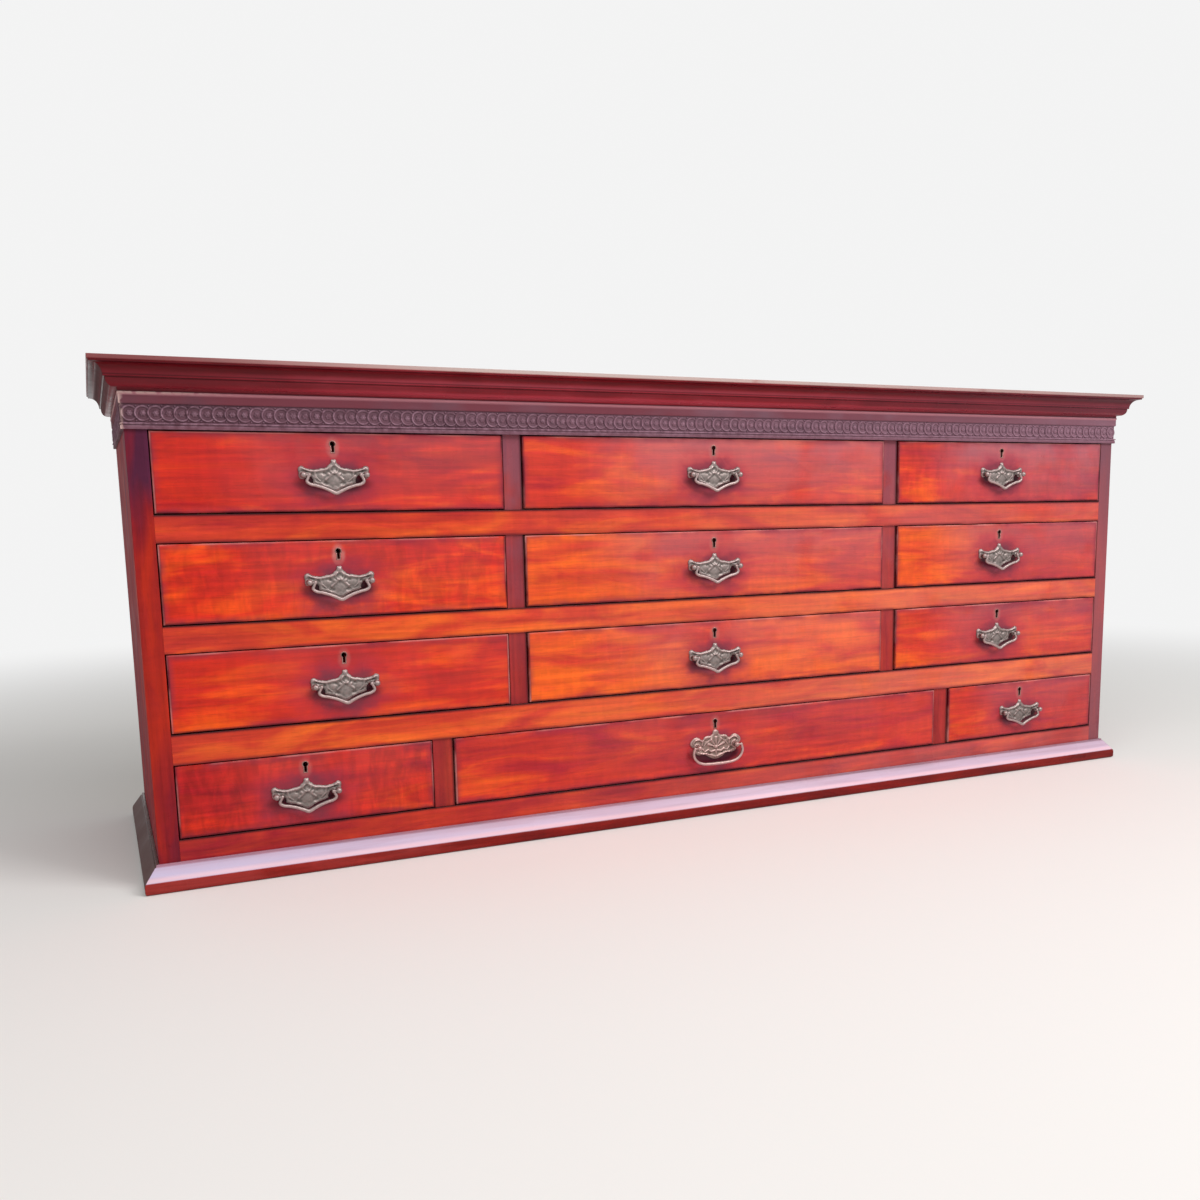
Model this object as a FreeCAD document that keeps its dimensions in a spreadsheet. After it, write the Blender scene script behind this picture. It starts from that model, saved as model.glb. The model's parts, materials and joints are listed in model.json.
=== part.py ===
# Bank of twelve drawers: a long low mahogany carcase with a cornice, a frieze and a base moulding.
# Millimetres. +Z is up, +X is to the right and the front faces -Y.
# The origin is on the ground, at the middle of the rectangle that the cornice covers.

import FreeCAD, Part
import math
import os
import re
import Sketcher

V = FreeCAD.Vector

# Driving sizes. Every other size and place is worked out from these.
SIZES = {
    # Carcase
    "carcase_width": 1400,
    "carcase_depth": 370,
    "side_thickness": 22,
    "top_thickness": 18,
    "bottom_thickness": 15,
    "housing_depth": 8,
    "back_thickness": 10,
    "back_board_gap": 0.4,
    # Front openings, from the ground up
    "base_height": 29,
    "bottom_rail_height": 24,
    "low_opening": 83,
    "low_rail_height": 34,
    "row_opening": 88,
    "rail_height": 30,
    "frieze_height": 38,
    "cornice_height": 33,
    # Columns
    "outer_column": 388,
    "divider_width": 23,
    "low_outer_column": 288,
    "low_divider_width": 25,
    "divider_setback": 2.5,
    # Rails, runners, guides and stops
    "rail_depth": 45,
    "top_rail_depth": 30,
    "tenon_length": 12,
    "tenon_thickness": 12,
    "tenon_setback": 16,
    "tenon_shoulder": 5,
    "back_rail_depth": 35,
    "side_runner_width": 30,
    "guide_height": 30,
    "kicker_height": 20,
    "stop_length": 30,
    "stop_depth": 12,
    "stop_height": 4,
    "stop_inset": 60,
    # Mouldings
    "cornice_projection": 30,
    "frieze_projection": 4,
    "frieze_backing": 10,
    "base_projection": 16.5,
    # Drawers
    "front_gap": 1.2,
    "running_gap": 0.3,
    "front_thickness": 20,
    "drawer_side": 9,
    "drawer_back": 9,
    "drawer_bottom": 6,
    "bottom_raise": 9,
    "groove_depth": 4,
    "side_drop": 4,
    "back_drop": 6,
    "lap_depth": 14,
    "tail_width": 17,
    "tail_flare": 2,
    "rear_space": 18,
    # Keyholes and locks
    "keyhole_drop": 13,
    "keyhole_radius": 2.8,
    "keyhole_slot": 3,
    "keyhole_length": 9,
    "lining_wall": 1.2,
    "lining_depth": 5,
    "lock_width": 54,
    "lock_height": 36,
    "lock_thickness": 10,
    "lock_plate_width": 68,
    "lock_plate_thickness": 2.2,
    # Swan-neck handle on its bat-wing plate
    "wing_width": 80,
    "wing_height": 33,
    "plate_thickness": 2,
    "boss_width": 27,
    "boss_height": 21,
    "boss_relief": 2.4,
    "boss_round": 1.5,
    "post_reach": 34.6,
    "post_radius": 2.9,
    "post_head_radius": 3.6,
    "pivot_standoff": 8.5,
    "shank_radius": 2.2,
    "shank_clearance": 0.15,
    "nut_radius": 5.5,
    "nut_thickness": 4,
    "shank_end": 2,
    "pin_radius": 1.3,
    "pin_clearance": 0.06,
    "pin_end_gap": 0.6,
    "bail_radius": 1.8,
    "bail_eye_radius": 2.2,
    "bail_reach": 28.2,
    "bail_drop": 22.5,
    "bail_corner": 2.6,
    "bail_hollow": 14,
    "bail_nose": 9,
    "pull_drop": 47,
    "low_pull_drop": 46,
    "pull_shift": -5,
    # Broad handle on its cartouche plate
    "cartouche_width": 76,
    "cartouche_height": 41,
    "shell_width": 34,
    "shell_height": 25,
    "broad_post_reach": 28.5,
    "broad_bail_radius": 2.1,
    "broad_bail_reach": 35.2,
    "broad_bail_drop": 24.5,
    "broad_bail_corner": 11,
    "broad_bail_curl": 2.6,
}

# Counts
BACK_BOARDS = 6
TAILS = 3

# The three columns of the upper rows and of the low row, from left to right
COLUMNS = ("c1", "c2", "c3")
ROWS = ("r1", "r2", "r3", "r4")

os.makedirs("parts", exist_ok=True)
doc = FreeCAD.newDocument("bank_of_drawers")
sheet = doc.addObject("Spreadsheet::Sheet", "sizes")
for place, (alias, value) in enumerate(SIZES.items(), start=1):
    sheet.set(f"A{place}", alias)
    sheet.set(f"B{place}", str(value))
    sheet.setAlias(f"B{place}", alias)
doc.recompute()


def named(formula):
    """Points each size named in a formula at its cell in the sheet."""
    return re.sub(r"[a-z_]+", lambda word: f"sizes.{word[0]}", formula)


def bind(thing, **formulas):
    """Binds properties of an object to formulas of the named sizes."""
    for path, formula in formulas.items():
        thing.setExpression(path, named(formula))


def place_at(thing, at):
    """Binds the place of an object to three formulas."""
    for axis, formula in zip("xyz", at):
        thing.setExpression(f"Placement.Base.{axis}", named(formula))
    return thing


def box(name, size, at=("0", "0", "0")):
    thing = doc.addObject("Part::Box", name)
    bind(thing, Length=size[0], Width=size[1], Height=size[2])
    return place_at(thing, at)


def turned(name, radius, length, at, axis):
    """A cylinder from a place along an axis: +X, +Y or +Z."""
    thing = doc.addObject("Part::Cylinder", name)
    bind(thing, Radius=radius, Height=length)
    turn = {"x": (V(0, 1, 0), 90), "y": (V(1, 0, 0), -90), "z": (V(0, 0, 1), 0)}[axis]
    thing.Placement = FreeCAD.Placement(V(0, 0, 0), FreeCAD.Rotation(*turn))
    return place_at(thing, at)


def group(name, members, at=("0", "0", "0"), half_turn=False):
    """Several solids held as one object, moved together."""
    thing = doc.addObject("Part::Compound", name)
    thing.Links = members
    if half_turn:
        thing.Placement = FreeCAD.Placement(V(0, 0, 0), FreeCAD.Rotation(V(0, 0, 1), 180))
    return place_at(thing, at)


def cut(name, base, tools):
    thing = doc.addObject("Part::Cut", name)
    thing.Base = base
    thing.Tool = tools[0] if len(tools) == 1 else group(f"{name}_tools", tools)
    return thing


def fuse(name, members):
    thing = doc.addObject("Part::MultiFuse", name)
    thing.Shapes = members
    return thing


def arc_through(start, passed, end):
    """An anticlockwise arc, and whether it runs from the start to the end or the other way."""
    circle = Part.Arc(start, passed, end).toShape().Curve
    anticlockwise = (passed - start).cross(end - passed).z > 0
    first, last = (start, end) if anticlockwise else (end, start)
    spokes = [spot - circle.Center for spot in (first, last)]
    angles = [math.atan2(spoke.y, spoke.x) for spoke in spokes]
    return Part.ArcOfCircle(Part.Circle(circle.Center, V(0, 0, 1), circle.Radius), *angles), anticlockwise


def outline(body, name, role, points, across, up, shift=("0", "0")):
    """A closed outline on an origin plane of a body. Each point is a pair of shares of the sizes
    across and up, and a third entry, where there is one, is a point that an arc to it passes."""
    sketch = body.newObject("Sketcher::SketchObject", name)
    plane = [face for face in body.Origin.OriginFeatures if face.Role == role][0]
    sketch.AttachmentSupport = [(plane, "")]
    sketch.MapMode = "FlatFace"
    for axis, formula in zip("xy", shift):
        sketch.setExpression(f"AttachmentOffset.Base.{axis}", named(formula))
    wide = sheet.get(across)
    high = sheet.get(up)

    def spot(pair):
        return V(pair[0] * wide, pair[1] * high, 0)

    def pin_point(geometry, end, pair):
        for kind, share, size in zip(("DistanceX", "DistanceY"), pair, (across, up)):
            value = share * sheet.get(size)
            number = sketch.addConstraint(Sketcher.Constraint(kind, -1, 1, geometry, end, value))
            sketch.setExpression(f"Constraints[{number}]", named(f"{share} * {size}"))

    ends = []
    for index, point in enumerate(points):
        start = points[index - 1]
        if len(point) == 2:
            number = sketch.addGeometry(Part.LineSegment(spot(start), spot(point)), False)
            ends.append((number, 1, 2))
            continue
        curve, anticlockwise = arc_through(spot(start), spot(point[2]), spot(point))
        number = sketch.addGeometry(curve, False)
        ends.append((number, 1, 2) if anticlockwise else (number, 2, 1))
    for index, (number, start, end) in enumerate(ends):
        after = ends[(index + 1) % len(ends)]
        sketch.addConstraint(Sketcher.Constraint("Coincident", number, end, after[0], after[1]))
        pin_point(number, end, points[index])
    return sketch


def pad(body, name, sketch, length, symmetric=False):
    feature = body.newObject("PartDesign::Pad", name)
    feature.Profile = sketch
    feature.SideType = "Symmetric" if symmetric else "One side"
    bind(feature, Length=length)
    doc.recompute()
    return feature


def pocket(body, name, sketch):
    """Cuts an outline right through a body, both ways."""
    before = body.Shape.Volume
    feature = body.newObject("PartDesign::Pocket", name)
    feature.Profile = sketch
    feature.SideType = "Symmetric"
    feature.Type = "ThroughAll"
    doc.recompute()
    if not body.Shape.Volume < before:
        raise RuntimeError(f"{name} cuts nothing")
    return feature


# Places that many pieces share
FRONT = "(cornice_projection - carcase_depth) / 2"
BACK = "(cornice_projection + carcase_depth) / 2"
HALF = "carcase_width / 2"
INNER = "(carcase_width / 2 - side_thickness)"
LOW_SILL = "base_height + bottom_rail_height"
SILL_OF = {"r4": LOW_SILL}
SILL_OF["r3"] = f"{LOW_SILL} + low_opening + low_rail_height"
SILL_OF["r2"] = f"{SILL_OF['r3']} + row_opening + rail_height"
SILL_OF["r1"] = f"{SILL_OF['r2']} + row_opening + rail_height"
FRIEZE_SILL = f"{SILL_OF['r1']} + row_opening"
CORNICE_SILL = f"{FRIEZE_SILL} + frieze_height"
TOP = f"{CORNICE_SILL} + cornice_height"
UNDER_TOP = f"{TOP} - top_thickness"

# Height of the rail under each row, and of the opening over it
RAIL_UNDER = {"r1": "rail_height", "r2": "rail_height", "r3": "low_rail_height"}
OPENING_OF = {"r1": "row_opening", "r2": "row_opening", "r3": "row_opening", "r4": "low_opening"}
OUTER_OF = {row: "low_outer_column" if row == "r4" else "outer_column" for row in ROWS}
DIVIDER_OF = {row: "low_divider_width" if row == "r4" else "divider_width" for row in ROWS}


def middle_column(row):
    """Width of the middle opening of a row: what the outer two and the dividers leave."""
    return f"(2 * {INNER} - 2 * {OUTER_OF[row]} - 2 * {DIVIDER_OF[row]})"


def divider_left(row, side):
    """Left face of a row's divider, on the left or the right of the middle."""
    if side == "left":
        return f"-{INNER} + {OUTER_OF[row]}"
    return f"{INNER} - {OUTER_OF[row]} - {DIVIDER_OF[row]}"


def rail(name, y, depth, sill, height):
    """A rail between the sides, with a stub tenon right through it that shows at both ends."""
    board = box(f"{name}_board", (f"2 * {INNER}", depth, height), (f"-{INNER}", y, sill))
    tenon = box(
        f"{name}_tenon",
        (f"2 * {INNER} + 2 * tenon_length", "tenon_thickness", f"{height} - 2 * tenon_shoulder"),
        (f"-{INNER} - tenon_length", f"{y} + tenon_setback", f"{sill} + tenon_shoulder"),
    )
    return fuse(name, [board, tenon]), tenon


def make_rails():
    """The front rails and the back rails, and the tenons that the sides are cut for."""
    fronts = [rail("bottom_rail", FRONT, "rail_depth", "0", LOW_SILL)]
    backs = []
    back_y = f"{BACK} - back_thickness - back_rail_depth"
    for row, height in RAIL_UNDER.items():
        sill = f"{SILL_OF[row]} - {height}"
        fronts.append(rail(f"rail_under_{row}", FRONT, "rail_depth", sill, height))
        backs.append(rail(f"back_rail_under_{row}", back_y, "back_rail_depth", sill, height))
    top_height = f"{UNDER_TOP} - ({FRIEZE_SILL})"
    top_y = f"{FRONT} + frieze_backing"
    fronts.append(rail("top_rail", top_y, "top_rail_depth", FRIEZE_SILL, top_height))
    backs.append(rail("top_back_rail", back_y, "back_rail_depth", FRIEZE_SILL, "kicker_height"))
    tenons = [tenon for _, tenon in fronts + backs]
    front_group = group("front_rails", [solid for solid, _ in fronts])
    back_group = group("back_rails", [solid for solid, _ in backs])
    return front_group, back_group, tenons


def make_side(name, outer_x, inner_x, tenons):
    """A side board, with mortises for the rails, a housing for the bottom board, a rebate for the
    back boards and a notch for the frieze."""
    board = box(f"{name}_board", ("side_thickness", "carcase_depth", UNDER_TOP), (outer_x, FRONT, "0"))
    housing = box(
        f"{name}_housing",
        ("2 * housing_depth", "carcase_depth - rail_depth", "bottom_thickness"),
        (f"{inner_x} - housing_depth", f"{FRONT} + rail_depth", f"{LOW_SILL} - bottom_thickness"),
    )
    rebate = box(
        f"{name}_rebate",
        ("2 * housing_depth", "back_thickness", UNDER_TOP),
        (f"{inner_x} - housing_depth", f"{BACK} - back_thickness", "0"),
    )
    notch = box(
        f"{name}_notch",
        ("side_thickness", "frieze_backing", f"{UNDER_TOP} - ({FRIEZE_SILL})"),
        (outer_x, FRONT, FRIEZE_SILL),
    )
    return cut(name, board, [housing, rebate, notch] + tenons)


def make_back_boards():
    """Upright boards side by side in the rebates, each with a small gap to the next."""
    span = "(carcase_width - 2 * side_thickness + 2 * housing_depth)"
    width = f"(({span} + back_board_gap) / {BACK_BOARDS} - back_board_gap)"
    boards = []
    for index in range(BACK_BOARDS):
        left = f"-{span} / 2 + {index} * ({width} + back_board_gap)"
        at = (left, f"{BACK} - back_thickness", "0")
        boards.append(box(f"back_board_{index + 1}", (width, "back_thickness", UNDER_TOP), at))
    return group("back_boards", boards)


def make_dividers():
    """Short uprights between the rails, set back a little from the drawer fronts."""
    blocks = []
    for row in ROWS:
        for side in ("left", "right"):
            size = (DIVIDER_OF[row], "rail_depth - divider_setback", OPENING_OF[row])
            at = (divider_left(row, side), f"{FRONT} + divider_setback", SILL_OF[row])
            blocks.append(box(f"divider_{row}_{side}", size, at))
    return group("column_dividers", blocks)


def bearer(name, row, side, y, length, sill, height):
    """A strip that runs from front to back where the sides of two neighbouring drawers bear, or
    of one drawer beside the carcase side."""
    if side == "far_left":
        return box(name, ("side_runner_width", length, height), (f"-{INNER}", y, sill))
    if side == "far_right":
        return box(name, ("side_runner_width", length, height), (f"{INNER} - side_runner_width", y, sill))
    width = f"{DIVIDER_OF[row]} + 2 * side_runner_width"
    return box(name, (width, length, height), (f"{divider_left(row, side)} - side_runner_width", y, sill))


def make_runners():
    """Runners, kickers, guides and drawer stops."""
    pieces = []
    run_y = f"{FRONT} + rail_depth"
    run_length = "carcase_depth - rail_depth - back_rail_depth - back_thickness"
    kick_y = f"{FRONT} + frieze_backing + top_rail_depth"
    kick_length = "carcase_depth - frieze_backing - top_rail_depth - back_rail_depth - back_thickness"
    for side in ("far_left", "left", "right", "far_right"):
        for row, height in RAIL_UNDER.items():
            sill = f"{SILL_OF[row]} - {height}"
            pieces.append(bearer(f"runner_{row}_{side}", row, side, run_y, run_length, sill, height))
        pieces.append(
            bearer(f"kicker_{side}", "r1", side, kick_y, kick_length, FRIEZE_SILL, "kicker_height")
        )
    for row in ROWS:
        for side in ("left", "right"):
            size = (DIVIDER_OF[row], "carcase_depth - rail_depth - back_thickness", "guide_height")
            pieces.append(box(f"guide_{row}_{side}", size, (divider_left(row, side), run_y, SILL_OF[row])))
        for column in COLUMNS:
            pieces += drawer_stops(row, column)
    return group("runners_and_guides", pieces)


def column_centre(row, column):
    if column == "c1":
        return f"-{INNER} + {OUTER_OF[row]} / 2"
    if column == "c3":
        return f"{INNER} - {OUTER_OF[row]} / 2"
    return "0"


def column_width(row, column):
    return middle_column(row) if column == "c2" else OUTER_OF[row]


def drawer_stops(row, column):
    """Two small blocks on the rail, that a closed drawer's front meets."""
    blocks = []
    for number, sign in ((1, "-"), (2, "+")):
        middle = f"{column_centre(row, column)} {sign} ({column_width(row, column)} / 2 - stop_inset)"
        at = (f"{middle} - stop_length / 2", f"{FRONT} + front_thickness + running_gap", SILL_OF[row])
        size = ("stop_length", "stop_depth", "stop_height")
        blocks.append(box(f"stop_{row}_{column}_{number}", size, at))
    return blocks


# Moulding outlines, from the carcase outwards and from the bottom up, as shares of projection and height
CORNICE_SHARES = [
    (0, 0), (0.12, 0), (0.12, 0.1), (0.2, 0.1), (0.48, 0.4, (0.41, 0.18)), (0.54, 0.4), (0.54, 0.47),
    (0.9, 0.8, (0.63, 0.7)), (0.95, 0.8), (0.95, 0.86), (1, 0.86), (1, 1), (0, 1),
]
FRIEZE_SHARES = [
    (0, 0), (1, 0), (1, 0.06), (0.4, 0.08), (0.4, 0.6), (1, 0.62), (1, 0.68), (0.6, 0.7), (0.6, 0.74),
    (0.9, 0.76), (0.9, 1), (0, 1),
]
BASE_SHARES = [
    (0, 0), (0.88, 0), (1, 0.08, (0.966, 0.03)), (1, 0.36), (0.94, 0.43, (0.982, 0.4)), (0.3, 0.9),
    (0.2, 0.92), (0.2, 1), (0, 1),
]


def moulded_length(name, role, shares, outward, projection, height, length, at, symmetric, mitres):
    """One straight length of moulding, with its mitres cut."""
    body = doc.addObject("PartDesign::Body", name)
    points = [mirrored_point(point, outward) for point in shares]
    sketch = outline(body, f"{name}_outline", role, points, projection, height)
    doc.recompute()
    pad(body, f"{name}_pad", sketch, length, symmetric)
    for number, (points, shift) in enumerate(mitres, start=1):
        mitre = outline(body, f"{name}_mitre_{number}", "XY_Plane", points, projection, projection, shift)
        doc.recompute()
        pocket(body, f"{name}_mitre_cut_{number}", mitre)
    return place_at(body, at)


def mirrored_point(point, sign):
    """A point of an outline, with its first share turned over where sign is -1."""
    flat = (sign * point[0], point[1])
    return flat if len(point) == 2 else flat + ((sign * point[2][0], point[2][1]),)


def three_lengths(name, shares, projection, height, sill):
    """A front length and two returns of one moulding, mitred at the front corners."""
    left_mitre = ([(0, 0), (-2, -2), (-2, 0)], (f"-{HALF}", "0"))
    right_mitre = ([(0, 0), (2, -2), (2, 0)], (HALF, "0"))
    front_length = f"carcase_width + 2 * {projection}"
    front = moulded_length(
        f"{name}_front", "YZ_Plane", shares, -1, projection, height, front_length,
        ("0", FRONT, sill), True, [left_mitre, right_mitre],
    )
    lengths = [front]
    for side, sign, x in (("left", -1, f"-{HALF}"), ("right", 1, HALF)):
        mitre = ([(0, 0), (2 * sign, -2), (0, -2)], ("0", "-carcase_depth"))
        lengths.append(moulded_length(
            f"{name}_{side}", "XZ_Plane", shares, sign, projection, height, f"carcase_depth + {projection}",
            (x, BACK, sill), False, [mitre],
        ))
    return lengths


def make_frieze():
    """The frieze lengths, and the board behind the front length, let into the sides."""
    lengths = three_lengths("frieze", FRIEZE_SHARES, "frieze_projection", "frieze_height", FRIEZE_SILL)
    size = ("carcase_width", "frieze_backing", f"{UNDER_TOP} - ({FRIEZE_SILL})")
    backing = box("frieze_backing_board", size, (f"-{HALF}", FRONT, FRIEZE_SILL))
    front = fuse("frieze_front_board", [lengths[0], backing])
    return group("frieze", [front] + lengths[1:])


def make_carcase():
    """Every piece of the carcase, by its node's name."""
    front_rails, back_rails, tenons = make_rails()
    nodes = {
        "side_left": make_side("side_left", f"-{HALF}", f"-{INNER}", tenons),
        "side_right": make_side("side_right", INNER, INNER, tenons),
        "front_rails": front_rails,
        "back_rails": back_rails,
        "column_dividers": make_dividers(),
        "runners_and_guides": make_runners(),
        "back_boards": make_back_boards(),
        "frieze": make_frieze(),
    }
    nodes["top_board"] = box(
        "top_board", ("carcase_width", "carcase_depth", "top_thickness"), (f"-{HALF}", FRONT, UNDER_TOP)
    )
    nodes["bottom_board"] = box(
        "bottom_board",
        (f"2 * {INNER} + 2 * housing_depth", "carcase_depth - rail_depth - back_thickness", "bottom_thickness"),
        (f"-{INNER} - housing_depth", f"{FRONT} + rail_depth", f"{LOW_SILL} - bottom_thickness"),
    )
    cornice = three_lengths("cornice", CORNICE_SHARES, "cornice_projection", "cornice_height", CORNICE_SILL)
    base = three_lengths("base_moulding", BASE_SHARES, "base_projection", "base_height", "0")
    nodes["cornice"] = group("cornice", cornice)
    nodes["base_moulding"] = group("base_moulding", base)
    return nodes


# Drawers are made once for each opening size, with the origin at the middle of the opening's sill,
# in the plane of the fronts.
DRAWER_END = "(carcase_depth - back_thickness - rear_space)"
BOTTOM_TOP = "(running_gap + bottom_raise + drawer_bottom)"


def tails(name, back_height, length):
    """Dovetails on the end of a drawer side. They run from y = 0, narrow, to their wide ends."""
    pieces = []
    for index in range(TAILS):
        middle = f"({BOTTOM_TOP} + {back_height} * {index + 0.5} / {TAILS})"
        wedge = doc.addObject("Part::Wedge", f"{name}_{index + 1}")
        bind(
            wedge, Xmin="0", X2min="0", Xmax="drawer_side", X2max="drawer_side", Ymin=f"-{length}", Ymax="0",
            Zmin=f"{middle} - tail_width / 2", Zmax=f"{middle} + tail_width / 2",
            Z2min=f"{middle} - tail_width / 2 + tail_flare", Z2max=f"{middle} + tail_width / 2 - tail_flare",
        )
        pieces.append(wedge)
    return pieces


def keyhole(name, grow, depth, at):
    """A round hole over a slot, larger all round by grow, that runs back from the front plane."""
    eye = turned(f"{name}_eye", f"keyhole_radius + {grow}", depth, at, "y")
    half_slot = f"(keyhole_slot / 2 + {grow})"
    slot_at = (f"{at[0]} - {half_slot}", at[1], f"{at[2]} - keyhole_length - {grow}")
    slot = box(f"{name}_slot", (f"2 * {half_slot}", depth, f"keyhole_length + {grow}"), slot_at)
    return fuse(name, [eye, slot])


def make_lock(kind, opening):
    """The keyhole's brass lining and the lock let into the back of a front. Returns both, and what
    the front is cut by."""
    middle = ("pull_shift", "0", f"{opening} - keyhole_drop")
    hole = keyhole(f"{kind}_keyhole", "0", "front_thickness", middle)
    outer = keyhole(f"{kind}_lining_outer", "lining_wall", "lining_depth", middle)
    lining = cut(f"{kind}_lining", outer, [hole])
    top = f"({opening} - front_gap)"
    y = "front_thickness - lock_thickness"
    case_at = ("pull_shift - lock_width / 2", y, f"{top} - lock_height")
    case = box(f"{kind}_lock_case", ("lock_width", "lock_thickness", "lock_height"), case_at)
    lip_at = ("pull_shift - lock_plate_width / 2", y, f"{top} - lock_plate_thickness")
    lip = box(f"{kind}_lock_lip", ("lock_plate_width", "lock_thickness", "lock_plate_thickness"), lip_at)
    blank = fuse(f"{kind}_lock_blank", [case, lip])
    lock = cut(f"{kind}_lock", blank, [hole])
    return [lining, lock], [outer, hole, blank]


def make_side_board(name, kind, x, inner_groove_x, side_top, back_height):
    """A drawer side with dovetails at both ends and a groove for the bottom. Returns the side, and
    the tails that the front and the back are cut by."""
    end = f"({DRAWER_END} - drawer_back)"
    size = ("drawer_side", f"{end} - front_thickness", f"{side_top} - running_gap")
    board = box(f"{name}_board", size, (x, "front_thickness", "running_gap"))
    lapped = group(f"{name}_lapped", tails(f"{name}_lap", back_height, "lap_depth"), (x, "front_thickness", "0"))
    through = group(
        f"{name}_through", tails(f"{name}_tail", back_height, "drawer_back"),
        (f"{x} + drawer_side", end, "0"), half_turn=True,
    )
    groove_size = ("groove_depth", f"{DRAWER_END} - front_thickness", "drawer_bottom")
    groove = box(f"{name}_groove", groove_size, (inner_groove_x, "front_thickness", "running_gap + bottom_raise"))
    return cut(name, fuse(f"{name}_blank", [board, lapped, through]), [groove]), lapped, through


def make_drawer(kind, width, opening, holes):
    """The front and the box of a drawer for one size of opening. The holes are those of its handle."""
    half = f"({width} / 2 - front_gap)"
    side_top = f"({opening} - front_gap - side_drop)"
    back_height = f"({side_top} - back_drop - {BOTTOM_TOP})"
    sides = []
    front_cuts = []
    back_cuts = []
    for name, x, groove_x in (
        ("left", f"-{half}", f"-{half} + drawer_side - groove_depth"),
        ("right", f"{half} - drawer_side", f"{half} - drawer_side"),
    ):
        side, lapped, through = make_side_board(f"{kind}_{name}", kind, x, groove_x, side_top, back_height)
        sides.append(side)
        front_cuts.append(lapped)
        back_cuts.append(through)
    bottom = box(
        f"{kind}_bottom",
        (
            f"2 * ({half} - drawer_side + groove_depth)",
            f"{DRAWER_END} - front_thickness + groove_depth",
            "drawer_bottom",
        ),
        (f"-({half} - drawer_side + groove_depth)", "front_thickness - groove_depth", "running_gap + bottom_raise"),
    )
    back_at = (f"-{half}", f"{DRAWER_END} - drawer_back", BOTTOM_TOP)
    back_board = box(f"{kind}_back_board", (f"2 * {half}", "drawer_back", back_height), back_at)
    back = cut(f"{kind}_back", back_board, back_cuts)
    fittings, lock_cuts = make_lock(kind, opening)
    front_size = (f"2 * {half}", "front_thickness", f"{opening} - 2 * front_gap")
    front_board = box(f"{kind}_front_board", front_size, (f"-{half}", "0", "front_gap"))
    front = cut(f"{kind}_front", front_board, front_cuts + [bottom] + lock_cuts + [holes])
    return front, sides + [back, bottom], fittings


# Outlines of the plates and of the raised parts on them, from the top of the right half down, as
# shares of width and height. The bail's axis is at the origin.
WING_SHARES = [
    (0, 0.43), (0.07, 0.27, (0.056, 0.37)), (0.13, 0.13, (0.085, 0.19)), (0.36, 0.09, (0.25, 0.07)),
    (0.455, 0.19, (0.415, 0.125)), (0.5, 0.03, (0.495, 0.12)), (0.42, -0.14, (0.475, -0.08)),
    (0.29, -0.2, (0.35, -0.15)), (0.19, -0.33, (0.25, -0.29)), (0.1, -0.42, (0.135, -0.36)),
    (0, -0.55, (0.06, -0.5)),
]
BOSS_SHARES = [
    (0, 0.2), (0.32, 0.12, (0.17, 0.18)), (0.5, -0.16, (0.44, 0)), (0.36, -0.5, (0.46, -0.34)),
    (0, -0.78, (0.2, -0.67)),
]
CARTOUCHE_SHARES = [
    (0, 0.54), (0.06, 0.4, (0.048, 0.49)), (0.16, 0.34, (0.1, 0.345)), (0.25, 0.23, (0.22, 0.31)),
    (0.3, 0.26, (0.272, 0.235)), (0.46, 0.27, (0.38, 0.33)), (0.5, 0.08, (0.5, 0.18)),
    (0.42, -0.02, (0.468, 0.015)), (0.42, -0.14, (0.4, -0.08)), (0.3, -0.27, (0.38, -0.235)),
    (0.18, -0.3, (0.24, -0.265)), (0, -0.44, (0.1, -0.395)),
]
SHELL_SHARES = [
    (0, 0.5), (0.28, 0.4, (0.15, 0.47)), (0.5, 0.06, (0.43, 0.25)), (0.36, -0.36, (0.47, -0.17)),
    (0, -0.62, (0.2, -0.52)),
]


def both_halves(right_half):
    """The whole outline from its right half: down the right and up the left. An arc's passed point
    goes with the point that the arc ends at, which is the other end on the way up."""
    points = list(right_half)
    for index in range(len(right_half) - 1, 0, -1):
        across, up = right_half[index][2]
        end = right_half[index - 1]
        arc = (-end[0], end[1], (-across, up))
        if index == 1:
            points[0] = (end[0], end[1], (-across, up))
        else:
            points.append(arc)
    return points


def front_face(body):
    """The name of the flat face that lies furthest to the front."""
    faces = body.Shape.Faces
    flat = [(face.BoundBox.YMax, number) for number, face in enumerate(faces, start=1)]
    return f"Face{min(flat)[1]}"


def make_plate(name, shares, width, height, raised_shares, raised_width, raised_height, hole):
    """A cast plate with a pillow in the middle, rounded at its front edge."""
    body = doc.addObject("PartDesign::Body", name)
    sketch = outline(body, f"{name}_outline", "XZ_Plane", both_halves(shares), width, height)
    doc.recompute()
    pad(body, f"{name}_base", sketch, "plate_thickness")
    raised = outline(body, f"{name}_raised", "XZ_Plane", both_halves(raised_shares), raised_width, raised_height)
    doc.recompute()
    boss = pad(body, f"{name}_boss", raised, "plate_thickness + boss_relief")
    fillet = body.newObject("PartDesign::Fillet", f"{name}_boss_edge")
    fillet.Base = (boss, [front_face(body)])
    bind(fillet, Radius="boss_round")
    doc.recompute()
    return cut(f"{name}_drilled", body, [hole])


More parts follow.
